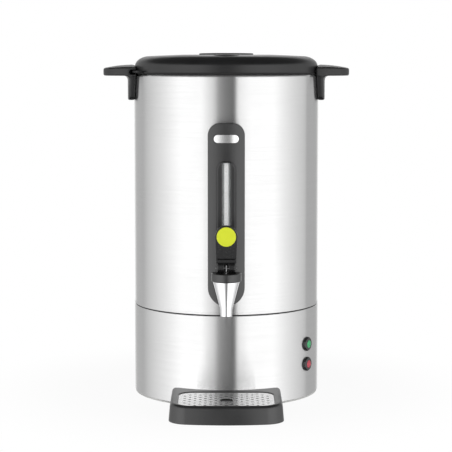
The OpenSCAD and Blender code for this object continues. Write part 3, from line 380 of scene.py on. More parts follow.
class Graph:
    """A material's nodes, with short calls for what the finishes share."""

    def __init__(self, name: str) -> None:
        """Starts a material with one principled shader.

        Args:
            name: Name of the material.
        """
        self.material = bpy.data.materials.new(name)
        self.material.use_nodes = True
        self.tree = self.material.node_tree
        self.shader = self.tree.nodes["Principled BSDF"]

    def add(self, kind: str, values: dict[str | int, object], **settings: object) -> bpy.types.Node:
        """Adds a node.

        Args:
            kind: The node's type.
            values: Value or link of each input.
            settings: Properties of the node.

        Returns:
            The node.
        """
        node = self.tree.nodes.new(kind)
        for key, value in settings.items():
            setattr(node, key, value)
        self.fill(node, values)
        return node

    def fill(self, node: bpy.types.Node, values: dict[str | int, object]) -> None:
        """Sets or links the inputs of a node.

        Args:
            node: The node.
            values: Value or link of each input.
        """
        for key, value in values.items():
            if isinstance(value, Socket):
                self.tree.links.new(value, node.inputs[key])
            else:
                node.inputs[key].default_value = value

    def surface(self, values: dict[str, object]) -> None:
        """Sets or links the inputs of the shader."""
        self.fill(self.shader, values)

    def math(self, operation: str, first: object, second: object) -> Socket:
        """Joins two numbers."""
        return self.add("ShaderNodeMath", {0: first, 1: second}, operation=operation).outputs[0]

    def here(self) -> Socket:
        """Object coordinates, in metres."""
        return self.add("ShaderNodeTexCoord", {}).outputs["Object"]

    def split(self, vector: Socket) -> bpy.types.NodeOutputs:
        """X, Y and Z of a vector."""
        return self.add("ShaderNodeSeparateXYZ", {0: vector}).outputs

    def stretched(self, where: Socket, scale: Corner) -> Socket:
        """Coordinates times a scale along each axis."""
        return self.add("ShaderNodeMapping", {"Vector": where, "Scale": scale}).outputs[0]

    def place(self, scale: Corner) -> Socket:
        """Object coordinates times a scale along each axis."""
        return self.stretched(self.here(), scale)

    def wrapped(self, radius: float, scale: Corner) -> Socket:
        """Coordinates that run round the tank's axis and up it.

        Args:
            radius: Radius at which they are measured, in metres.
            scale: Scale round the axis, away from it and up it.

        Returns:
            The scaled coordinates.
        """
        x, y, z = self.split(self.here())
        round_way = self.math("MULTIPLY", self.math("ARCTAN2", y, x), radius)
        return self.stretched(self.add("ShaderNodeCombineXYZ", {0: round_way, 2: z}).outputs[0], scale)

    def noise(self, where: Socket, detail: float = 2.0) -> Socket:
        """Soft noise between 0 and 1."""
        return self.add("ShaderNodeTexNoise", {"Vector": where, "Scale": 1.0, "Detail": detail}).outputs[0]

    def spread(self, factor: Socket, low: float, high: float) -> Socket:
        """Maps the middle of a noise to a range of values."""
        return self.ranged(factor, (NOISE_LOW, NOISE_HIGH), (low, high))

    def ranged(self, value: Socket, source: Point, target: Point, **settings: object) -> Socket:
        """Maps one range of values to another.

        Args:
            value: The value.
            source: Range that it comes from.
            target: Range that it goes to.
            settings: Properties of the node.

        Returns:
            The mapped value.
        """
        values = dict(zip(("From Min", "From Max", "To Min", "To Max"), source + target))
        return self.add("ShaderNodeMapRange", {"Value": value, **values}, **settings).outputs[0]

    def tint(self, factor: Socket, low: Colour, high: Colour) -> Socket:
        """A colour between two others.

        Args:
            factor: The noise that mixes them.
            low: Colour where the noise is low.
            high: Colour where it is high.

        Returns:
            The mixed colour.
        """
        ramp = self.add("ShaderNodeValToRGB", {"Fac": factor})
        for stop, place, colour in zip(ramp.color_ramp.elements, (NOISE_LOW, NOISE_HIGH), (low, high)):
            stop.position = place
            stop.color = (*colour, 1)
        return ramp.outputs[0]

    def bump(self, height: Socket, depth: float, strength: float) -> None:
        """Roughens the surface by a height in millimetres."""
        values = {"Height": height, "Distance": depth * MM, "Strength": strength}
        self.surface({"Normal": self.add("ShaderNodeBump", values).outputs[0]})

    def glow(self, strength: object) -> Socket:
        """White light of some strength."""
        return self.add("ShaderNodeEmission", {"Color": (1, 1, 1, 1), "Strength": strength}).outputs[0]

    def show(self, shader: Socket) -> None:
        """Makes a shader the material's surface."""
        self.fill(self.tree.nodes["Material Output"], {"Surface": shader})


def shaded(colour: Colour, share: float) -> Colour:
    """A colour made lighter or darker by a share."""
    return tuple(min(1.0, c * share) for c in colour)


@dataclass(frozen=True)
class Finish:
    """A surface finish.

    Attributes:
        name: Name of the material.
        colour: Linear colour.
        roughness: Roughness of the surface.
    """

    name: str
    colour: Colour
    roughness: float

    @cache
    def material(self) -> bpy.types.Material:
        """Makes the finish's material once.

        Returns:
            The material.
        """
        graph = Graph(self.name)
        self.draw(graph)
        return graph.material

    def draw(self, graph: Graph) -> None:
        """Fills the finish's nodes."""
        raise NotImplementedError


@dataclass(frozen=True)
class Brushed(Finish):
    """Sheet metal polished in fine lines.

    Attributes:
        brush: Which way the lines run.
        stretch: How strongly reflections smear across the lines.
        line: Height of one polishing line, in millimetres.
        band: Height of a band of lines, in millimetres.
        runs: How often a line and a band change along their length, per metre.
    """

    brush: Brush = Brush.ROUND
    stretch: float = 0.8
    line: float = 0.25
    band: float = 1.5
    runs: Point = (30.0, 9.0)

    def streaks(self, graph: Graph, run: float, height: float) -> Socket:
        """Noise that is drawn out along the polishing lines.

        Args:
            graph: The material's nodes.
            run: How often it changes along the lines, per metre.
            height: How high it is across them, in millimetres.

        Returns:
            The noise.
        """
        across = 1 / (height * MM)
        if self.brush is Brush.ROUND:
            return graph.noise(graph.wrapped(WRAP_RADIUS, (run, 1, across)))
        return graph.noise(graph.place((run, across, across)))

    def draw(self, graph: Graph) -> None:
        """Draws polishing lines, bands of them, faint smears and smeared reflections.

        Args:
            graph: The material's nodes.
        """
        lines = self.streaks(graph, self.runs[0], self.line)
        bands = self.streaks(graph, self.runs[1], self.band)
        tangent = graph.add("ShaderNodeTangent", {}, direction_type="RADIAL", axis=self.brush.value)
        smears = graph.noise(graph.place((14, 14, 9)), detail=3)
        polish = graph.math("ADD", graph.spread(lines, -0.02, 0.02), graph.spread(smears, -0.015, 0.02))
        graph.surface({
            "Base Color": graph.tint(bands, shaded(self.colour, 0.98), shaded(self.colour, 1.015)),
            "Metallic": 1.0,
            "Roughness": graph.math("ADD", polish, self.roughness),
            "Anisotropic": self.stretch,
            "Anisotropic Rotation": 0.25 if self.brush is Brush.ROUND else 0.0,
            "Tangent": tangent.outputs[0],
        })
        graph.bump(lines, 0.005, 0.25)


@dataclass(frozen=True)
class PerforatedWithPaintedShade(Brushed):
    """Polished sheet with painted shade: its steep hole walls are coloured near-black, where shade falls
    inside the punched holes.

    Attributes:
        edge: Near-black colour painted on the punched hole walls as shade.
    """

    # painted shade: near-black colour for the inside of the punched holes
    edge: Colour = (0.012, 0.012, 0.012)

    def draw(self, graph: Graph) -> None:
        """Draws polished faces and painted shade on the hole walls, told apart by how steep they stand.

        Args:
            graph: The material's nodes.
        """
        super().draw(graph)
        polished = graph.shader.inputs["Base Color"].links[0].from_socket
        normal = graph.add("ShaderNodeNewGeometry", {}).outputs["True Normal"]
        level = graph.spread(graph.math("ABSOLUTE", graph.split(normal)[2], 0.0), 0.0, 1.0)
        # painted shade: steep faces take the near-black colour in place of the polished steel
        mixed = graph.add("ShaderNodeMix", {0: level, 6: (*self.edge, 1), 7: polished}, data_type="RGBA")
        graph.surface({"Base Color": mixed.outputs[2]})


@dataclass(frozen=True)
class Plated(Finish):
    """Bright metal, such as plating or a pressed part."""

    def draw(self, graph: Graph) -> None:
        """Draws a near mirror with a faint haze and ripples.

        Args:
            graph: The material's nodes.
        """
        haze = graph.noise(graph.place((90, 90, 30)), detail=4)
        ripple = graph.noise(graph.place((260, 260, 260)))
        graph.surface({
            "Base Color": graph.tint(haze, shaded(self.colour, 0.97), shaded(self.colour, 1.02)),
            "Metallic": 1.0,
            "Roughness": graph.spread(haze, 0.75 * self.roughness, 1.35 * self.roughness),
        })
        graph.bump(ripple, 0.004, 0.3)


@dataclass(frozen=True)
class Moulded(Finish):
    """Moulded plastic with a fine spark-eroded grain.

    Attributes:
        grain: Depth of the grain, in millimetres.
        cell: Size of one grain, in millimetres.
        gloss: Specular level.
    """

    grain: float = 0.02
    cell: float = 0.5
    gloss: float = 0.5

    def draw(self, graph: Graph) -> None:
        """Draws grain, cloudy gloss and a slight change of colour.

        Args:
            graph: The material's nodes.
        """
        size = 1 / (self.cell * MM)
        grain = graph.noise(graph.place((size, size, size)), detail=3)
        cloud = graph.noise(graph.place((22, 22, 22)), detail=3)
        graph.surface({
            "Base Color": graph.tint(cloud, shaded(self.colour, 0.9), shaded(self.colour, 1.12)),
            "Roughness": graph.spread(cloud, self.roughness - 0.04, self.roughness + 0.05),
            "Specular IOR Level": self.gloss,
        })
        graph.bump(grain, self.grain, 0.5)


@dataclass(frozen=True)
class Clear(Finish):
    """Clear or tinted glass and lens plastic.

    Attributes:
        index: Refractive index.
        passing: Share of the light that passes through.
    """

    index: float = 1.47
    passing: float = 1.0

    def draw(self, graph: Graph) -> None:
        """Draws a clear body with a faint waviness.

        Args:
            graph: The material's nodes.
        """
        wave = graph.noise(graph.place((70, 70, 25)))
        graph.surface({
            "Base Color": graph.tint(wave, shaded(self.colour, 0.96), shaded(self.colour, 1.04)),
            "Roughness": graph.spread(wave, 0.8 * self.roughness, 1.3 * self.roughness),
            "Transmission Weight": self.passing,
            "IOR": self.index,
        })
        graph.bump(wave, 0.02, 0.2)


@dataclass(frozen=True)
class Sheer(Clear):
    """Thin clear tube that shows what lies behind it and shines along its edges.

    Attributes:
        haze: How strongly the rims hide what lies behind them.
    """

    haze: float = 0.5

    def draw(self, graph: Graph) -> None:
        """Draws a clear face, bright rims and a faint waviness.

        Args:
            graph: The material's nodes.
        """
        super().draw(graph)
        rim = graph.add("ShaderNodeFresnel", {"IOR": self.index}).outputs[0]
        graph.surface({"Transmission Weight": 0.0, "Alpha": graph.math("MULTIPLY", rim, self.haze)})


@dataclass(frozen=True)
class Heated(Finish):
    """Metal discoloured by heat.

    Attributes:
        stain: Colour of the stains.
    """

    stain: Colour = (0.12, 0.09, 0.08)

    def draw(self, graph: Graph) -> None:
        """Draws blotches of scale over a dull metal.

        Args:
            graph: The material's nodes.
        """
        blotch = graph.noise(graph.place((60, 60, 60)), detail=5)
        scale = graph.noise(graph.place((900, 900, 900)), detail=3)
        graph.surface({
            "Base Color": graph.tint(blotch, self.stain, self.colour),
            "Metallic": 0.8,
            "Roughness": graph.spread(blotch, self.roughness + 0.12, self.roughness - 0.08),
        })
        graph.bump(scale, 0.03, 0.5)


SHEET_STEEL = Brushed("sheet_steel", (0.71, 0.71, 0.71), 0.24, stretch=1.0)
# the grille's hole walls carry painted shade, coloured near-black
GRILLE_STEEL = PerforatedWithPaintedShade("grille_steel_with_painted_shade", (0.82, 0.82, 0.82), 0.24, brush=Brush.ACROSS, stretch=0.5)
PRESSED_STEEL = Plated("pressed_steel", (0.74, 0.74, 0.73), 0.24)
FASTENER_STEEL = Plated("fastener_steel", (0.66, 0.66, 0.65), 0.30)
CHROME = Plated("chrome_plate", (0.88, 0.88, 0.89), 0.09)
BADGE_METAL = Brushed("badge_metal", (0.90, 0.90, 0.90), 0.22, brush=Brush.ACROSS, stretch=0.4)
BRASS = Plated("contact_brass", (0.72, 0.49, 0.17), 0.22)
BLACK_PLASTIC = Moulded("moulded_black", (0.010, 0.010, 0.0105), 0.32, grain=0.008, gloss=0.92)
LID_PLASTIC = Moulded("moulded_lid", (0.008, 0.008, 0.0084), 0.32, grain=0.008, gloss=0.52)
DARK_PLASTIC = Moulded("moulded_dark", (0.008, 0.008, 0.0084), 0.26, grain=0.006, gloss=0.75)
DEVICE_PLASTIC = Moulded("device_plastic", (0.035, 0.034, 0.034), 0.55)
RUBBER = Moulded("black_rubber", (0.020, 0.020, 0.020), 0.75, grain=0.03, gloss=0.3)
SILICONE = Moulded("white_silicone", (0.70, 0.70, 0.66), 0.5, grain=0.006)
WHITE_PLASTIC = Moulded("moulded_white", (0.82, 0.82, 0.80), 0.4, grain=0.006)
STRIP_GREY = Moulded("strip_grey", (0.92, 0.92, 0.92), 0.4, grain=0.004)
PALE_RUBBER = Moulded("pale_rubber", (0.55, 0.55, 0.54), 0.7, grain=0.03, gloss=0.3)
YELLOW_PLASTIC = Moulded("moulded_yellow", (0.56, 0.62, 0.020), 0.34, grain=0.005)
GLASS = Sheer("sight_glass", (0.55, 0.57, 0.57), 0.05)
GREEN_LENS = Clear("lens_green", (0.050, 0.42, 0.16), 0.30, index=1.49, passing=0.0)
RED_LENS = Clear("lens_red", (0.55, 0.055, 0.085), 0.30, index=1.49, passing=0.0)
HEATER_SHEATH = Heated("heater_sheath", (0.22, 0.21, 0.20), 0.45)
WIRE_JACKET = Moulded("wire_jacket", (0.32, 0.035, 0.025), 0.5, grain=0.01)


def dress(piece: Object, finish: Finish, body: str, slot: str, *nodes: str) -> Object:
    """Gives a new piece its finish, its body and the nodes that it stands for.

    Args:
        piece: The piece.
        finish: Its finish.
        body: The CAD body that carries it.
        slot: The record's material slot; not used.
        nodes: The CAD nodes that it replaces.

    Returns:
        The piece.
    """
    piece.data.materials.clear()
    piece.data.materials.append(finish.material())
    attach(piece, body)
    if nodes:
        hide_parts(*nodes)
    LOG.info("%s: %d faces on %s", piece.name, len(piece.data.polygons), body)
    return piece


def paint(finish: Finish, *nodes: str) -> None:
    """Gives CAD nodes a finish.

    Args:
        finish: The finish.
        nodes: Names of the nodes.
    """
    for node in nodes:
        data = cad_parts[node].data
        data.materials.clear()
        data.materials.append(finish.material())
        LOG.info("%s: solid with %s", node, finish.name)


@dataclass
class Shell:
    """The steel tank and the steel skirt under it.

    Attributes:
        sheet: Thickness of the steel.
        bead: Radius of the rolled rim.
        flare: How far the tank's lower edge flares.
        flare_height: Height of the flare.
        floor: Height of the tank's floor.
        well: Radius of the heater well.
        flange: Width of the skirt's flanges.
        bend: Outer radius of the skirt's bends.
        fold: Inner radius of the tank's folds.
        flare_bend: Radius of the bend over the flare.
        foot: Height and rounding of the flare's foot.
        edge: Rounding of the tank's cut edges.
        lip_edge: Rounding of the thinner edges and of the flanges.
        inlet_hole: Width and height of the inlet's hole in the skirt.
        button_hole: Radius of a button's hole in the skirt.
        drill: Where a hole's tool starts and ends, from the skirt's face outward.
        segments: Steps round the steel.
    """

    sheet: float = 1.0
    bead: float = 4.0
    flare: float = 0.7
    flare_height: float = 4.0
    floor: float = 133.0
    well: float = 44.0
    flange: float = 10.0
    bend: float = 1.3
    fold: float = 3.0
    flare_bend: float = 6.0
    foot: Point = (0.8, 1.0)
    edge: float = 0.3
    lip_edge: float = 0.2
    inlet_hole: Point = (28.2, 20.2)
    button_hole: float = 7.8
    drill: Point = (-4.0, 2.0)
    segments: int = 288

    def build(self) -> None:
        """Makes and dresses the steel pieces and the rings between them."""
        self.tank()
        self.skirt()
        paint(RUBBER, "seam_gasket")
        paint(PALE_RUBBER, "foot_ring")

    def tank(self) -> None:
        """The tank with its well, flared hem and rolled rim."""
        low, high = node_box("tank")
        hem = node_box("seam_gasket")[1].z
        radius, inner, bottom = high.x, high.x - self.sheet, low.z + self.sheet
        roll = (radius - self.bead, high.z - self.bead)
        thin = self.bead - self.sheet
        inside = rounded([(0, bottom, 0), (self.well, bottom, self.fold), (self.well, self.floor, self.fold),
                          (inner, self.floor, self.fold + self.sheet), (inner, roll[1], 0)])
        rim = arc(roll, (thin, thin), 0, 180, 14) + arc(roll, (self.bead, self.bead), 180, 0, 20)
        hem_radius, well, under = radius + self.flare, self.well + self.sheet, self.floor - self.sheet
        foot, foot_edge = self.foot
        outside = rounded([
            (radius, roll[1], 0), (radius, hem + self.flare_height, self.flare_bend),
            (hem_radius, hem + foot, foot_edge), (hem_radius, hem, self.edge), (inner, hem, self.lip_edge),
            (inner, under, self.edge), (well, under, self.fold - self.sheet),
            (well, low.z, self.fold + self.sheet), (0, low.z, 0),
        ])
        tank = lathe("tank_shell", inside + rim + outside, segments=self.segments)
        dress(tank, SHEET_STEEL, "urn", "steel", "tank")

    def skirt(self) -> None:
        """The skirt with both of its flanges."""
        low, high = node_box("base_skirt")
        outer, inner, lip = high.x, high.x - self.sheet, high.x - self.flange
        roof, ground = high.z - self.sheet, low.z + self.sheet
        bend = max(self.bend - self.sheet, self.lip_edge)
        section = rounded([
            (outer, low.z, self.bend), (outer, high.z, self.bend),
            (lip, high.z, self.lip_edge), (lip, roof, self.lip_edge), (inner, roof, bend),
            (inner, ground, bend), (lip, ground, self.lip_edge), (lip, low.z, self.lip_edge),
        ], closed=True)
        skirt = lathe("skirt_shell", section, closed=True, segments=self.segments)
        self.pierce(skirt, outer)
        dress(skirt, SHEET_STEEL, "urn", "steel", "base_skirt")

    def pierce(self, skirt: Object, radius: float) -> None:
        """Cuts the holes for the inlet and the buttons.

        Args:
            skirt: The closed skirt.
            radius: Its outer radius.
        """
        wide, tall = self.inlet_hole
        middle = node_centre("inlet_socket").z
        left, low, high = -wide / 2, middle - tall / 2, middle + tall / 2
        rings = [[(left, y, low), (-left, y, low), (-left, y, high), (left, y, high)]
                 for y in (radius + depth for depth in self.drill)]
        work(skirt, loft("inlet_hole", rings), Operation.CUT)
        for button in Button:
            place = outward(Buttons.azimuth, radius, node_centre(f"{button.name.lower()}_cap").z)
            work(skirt, drum("button_hole", self.button_hole, *self.drill, place), Operation.CUT)


@dataclass
class Lid:
    """The twist-lock lid with its knob.

    Attributes:
        radius: Radius of the lid's side.
        side: Height of the upright side's top.
        shoulder: Width and height of the rounded shoulder.
        crown: Rise of the crown over the shoulder.
        wall: Wall thickness.
        seal_gap: Gap between the lid and its seal.
        rim_edges: Outer and inner rounding of the side's lower edge.
        spigot: Outer and inner radius of the ring inside the tank's mouth.
        spigot_edge: Rounding of that ring's edges.
        well: Radius of the sunk ring round the knob.
        well_floor: Height of that ring's floor.
        well_edges: Rounding of that ring's foot and of its upper edge.
        brim: Width of the crown's edge round the sunk ring.
        vent: Distance of the vent from the axis.
        dish: Radius of the sphere that the vent's dish is a part of.
        dish_width: Width of the dish.
        boss: Width of the wall round the dish and its depth under the crown.
        holes: Number of the vent's holes.
        hole: Radius of a hole, and of the ring that they stand on.
        lug: Outer radius of a locking lug.
        lug_root: How deep a lug starts inside the lid's side.
        lug_height: Thickness of a lug.
        lug_turn: Middle angle of the right lug, in degrees.
        lug_half: Half the angle of a lug, in degrees.
        stem: Radius of the knob's stem.
        stem_edges: Rounding of the stem's foot and of its top.
        grip: Thickness of the knob's disc.
        grip_edges: Rounding of the disc's lower and upper edge.
        grip_crown: Rise of the disc's top.
    """

    radius: float = 132.5
    side: float = 474.6
    shoulder: Point = (22.0, 14.6)
    crown: float = 3.0
    wall: float = 3.0
    seal_gap: float = 0.1
    rim_edges: Point = (0.9, 0.5)
    spigot: Point = (125.2, 122.7)
    spigot_edge: float = 0.6
    well: float = 62.0
    well_floor: float = 477.26
    well_edges: Point = (4.0, 2.2)
    brim: float = 8.0
    vent: float = 99.0
    dish: float = 30.0
    dish_width: float = 37.0
    boss: Point = (2.0, 1.8)
    holes: int = 6
    hole: Point = (1.5, 7.0)
    lug: float = 141.5
    lug_root: float = 1.5
    lug_height: float = 2.8
    lug_turn: float = 23.36
    lug_half: float = 4.0
    stem: float = 15.0
    stem_edges: Point = (0.3, 5.0)
    grip: float = 7.0
    grip_edges: Point = (2.0, 1.2)
    grip_crown: float = 0.4

    def build(self) -> None:
        """Makes and dresses the lid, its knob and its seal."""
        self.cover()
        self.knob()
        paint(RUBBER, "lid_seal")
        paint(FASTENER_STEEL, "knob_screw")

    def top(self, radius: float) -> float:
        """Height of the crown at a distance from the axis."""
        edge = self.radius - self.shoulder[0]
        return self.side + self.shoulder[1] + self.crown * (1 - (radius / edge) ** 2)

    def crown_line(self, start: float, end: float, drop: float, steps: int = 12) -> list[Point]:
        """Points of the crown between two radii, lowered by a drop."""
        radii = [start + (end - start) * i / steps for i in range(steps + 1)]
        return [(r, self.top(r) - drop) for r in radii]

    def hollow(self, radius: float) -> Point:
        """Point of the shoulder's inside.

        Args:
            radius: Its distance from the axis.

        Returns:
            Radius and height of the point.
        """
        wide, tall = self.shoulder[0] - self.wall, self.shoulder[1] - self.wall
        share = (radius - self.radius + self.shoulder[0]) / wide
        return radius, self.side + tall * math.sqrt(1 - share * share)

    def cover(self) -> None:
        """The lid's shell with its vent and its two lugs."""
        base = node_box("lid_seal")[1].z + self.seal_gap
        spigot_low = node_box("lid")[0].z
        edge = (self.radius - self.shoulder[0], self.side)
        inner, brim = self.radius - self.wall, self.well + self.brim
        out_ring, in_ring = self.spigot
        foot_edge, top_edge = self.well_edges
        out_edge, in_edge = self.rim_edges
        outside = rounded([(0, self.well_floor, 0), (self.well, self.well_floor, foot_edge),
                           (self.well, self.top(self.well), top_edge), (brim, self.top(brim), 0)])
        outside += self.crown_line(brim + 1, edge[0] - 1, 0)
        outside += arc(edge, self.shoulder, 90, 0, 32)
        rim = rounded([(self.radius, self.side - 1, 0), (self.radius, base, out_edge), (inner, base, in_edge),
                       (inner, self.side, 0)])
        lip = [self.hollow(inner - inset) for inset in (0.3, 1.5, 3)]
        ring = rounded([(*self.hollow(out_ring), 0), (out_ring, spigot_low, self.spigot_edge),
                        (in_ring, spigot_low, self.spigot_edge), (*self.hollow(in_ring), 0)])
        roof = [self.hollow(in_ring - inset) for inset in (3, 6, 9)]
        well_wall, under_well = self.well + self.wall, self.well_floor - self.wall
        roof += self.crown_line(edge[0], well_wall, self.wall)
        under = [(well_wall, under_well), (0, under_well)]
        lid = lathe("lid_cover", outside + rim + lip + ring + roof + under, segments=240)
        self.add_vent(lid)
        for side in (0, 180):
            middle = side + self.lug_turn
            lug = sector("lug", (self.radius - self.lug_root, self.lug), (base, base + self.lug_height),
                         (middle - self.lug_half, middle + self.lug_half))
            work(lid, lug, Operation.JOIN)
        dress(lid, LID_PLASTIC, "lid", "black_plastic", "lid")

    def add_vent(self, lid: Object) -> None:
        """Sinks the steam vent's dish into the lid and drills its holes.

        Args:
            lid: The lid's shell.
        """
        half, crown = self.dish_width / 2, self.top(self.vent)
        centre = crown + math.sqrt(self.dish ** 2 - half ** 2)
        bottom = centre - self.dish
        front = Matrix.Translation((0, -self.vent, 0))
        wall, depth = self.boss
        work(lid, drum("boss", half + wall, bottom - self.wall, crown - depth, front), Operation.JOIN)
        ball = lathe("ball", arc((0, centre), (self.dish, self.dish), -90, 90, 48), place=front, segments=96)
        work(lid, ball, Operation.CUT)
        radius, ring = self.hole
        through = 2 * (self.wall + OVERCUT)
        for k in range(self.holes):
            spin = Matrix.Rotation(2 * math.pi * k / self.holes, 4, "Z")
            place = front @ spin @ Matrix.Translation((ring, 0, 0))
            work(lid, drum("hole", radius, bottom - through, bottom + through, place, 24), Operation.CUT)

    def knob(self) -> None:
        """The round knob in its sunk ring."""
        low, high = node_box("lid_knob")
        under = high.z - self.grip
        foot_edge, stem_edge = self.stem_edges
        low_edge, top_edge = self.grip_edges
        profile = rounded([
            (0, low.z, 0), (self.stem, low.z, foot_edge), (self.stem, under, stem_edge),
            (high.x, under, low_edge), (high.x, high.z - self.grip_crown, top_edge), (high.x / 2, high.z, 0),
            (0, high.z, 0),
        ])
        dress(lathe("knob_turned", profile), LID_PLASTIC, "lid", "black_plastic", "lid_knob")


@dataclass
class Handles:
    """The two side handles.

    Attributes:
        mould: How a handle's edges are rounded.
    """

    mould: Mould = Mould(0.8, 36)

    def build(self) -> None:
        """Makes and dresses both handles and their fixings."""
        for side in Side:
            node = f"{side.value}_handle"
            dress(self.mould.copy(f"{side.value}_grip", node), LID_PLASTIC, "urn", "black_plastic", node)
        paint(FASTENER_STEEL, "wall_screws")
        paint(SILICONE, "wall_washers")


@dataclass
class Gauge:
    """The black column on the front, with its sight tube and bare badge.

    Attributes:
        column_mould: How the column's edges are rounded.
        badge_mould: How the badge's edges are rounded.
        wall: Wall thickness of the tube.
        melt: Rounding of the tube's melted ends.
        tick_pitch: Distance between two marks on the strip.
        tick_first: Distance of the first mark from the strip's top.
        tick_count: Number of marks.
        tick_size: Width, thickness and height of a mark.
        tick_proud: How far a mark's middle stands in front of the strip.
        tick_edge: Bevel of a mark's edges.
    """

    column_mould: Mould = Mould(0.6, 6)
    badge_mould: Mould = Mould(0.2, 5)
    wall: float = 1.5
    melt: float = 0.5
    tick_pitch: float = 14.7
    tick_first: float = 12.5
    tick_count: int = 5
    tick_size: Corner = (3.0, 0.3, 1.0)
    tick_proud: float = 0.1
    tick_edge: float = 0.06

    def build(self) -> None:
        """Makes and dresses the column, badge, tube and strip."""
        column = self.column_mould.copy("column_moulding", "front_column")
        dress(column, BLACK_PLASTIC, "urn", "black_plastic", "front_column")
        badge = self.badge_mould.copy("badge_blank", "badge_plate")
        dress(badge, BADGE_METAL, "urn", "chrome", "badge_plate")
        self.tube()
        self.ticks()
        paint(STRIP_GREY, "gauge_strip")
        paint(RUBBER, "gauge_cap")
        paint(SILICONE, "gauge_seal")
        paint(CHROME, "gauge_socket")

    def tube(self) -> None:
        """The clear tube with melted ends."""
        low, high = node_box("gauge_tube")
        outer = (high.x - low.x) / 2
        inner = outer - self.wall
        corners = [(inner, low.z), (outer, low.z), (outer, high.z), (inner, high.z)]
        section = rounded([(*corner, self.melt) for corner in corners], closed=True)
        place = Matrix.Translation((0, node_centre("gauge_tube").y, 0))
        tube = lathe("sight_tube", section, closed=True, place=place, segments=64)
        tube.visible_shadow = False
        dress(tube, GLASS, "urn", "glass", "gauge_tube")

    def ticks(self) -> None:
        """Raised level marks on the strip."""
        low, high = node_box("gauge_strip")
        mesh = bmesh.new()
        size = Matrix.Diagonal((*self.tick_size, 1))
        for k in range(self.tick_count):
            middle = Vector((0, low.y - self.tick_proud, high.z - self.tick_first - k * self.tick_pitch))
            bmesh.ops.create_cube(mesh, size=1, matrix=Matrix.Translation(middle) @ size)
        bmesh.ops.bevel(mesh, geom=mesh.edges[:], offset=self.tick_edge, segments=2, affect="EDGES")
        mesh.transform(Matrix.Scale(MM, 4))
        dress(as_object("strip_marks", mesh), WHITE_PLASTIC, "urn", "white_plastic")


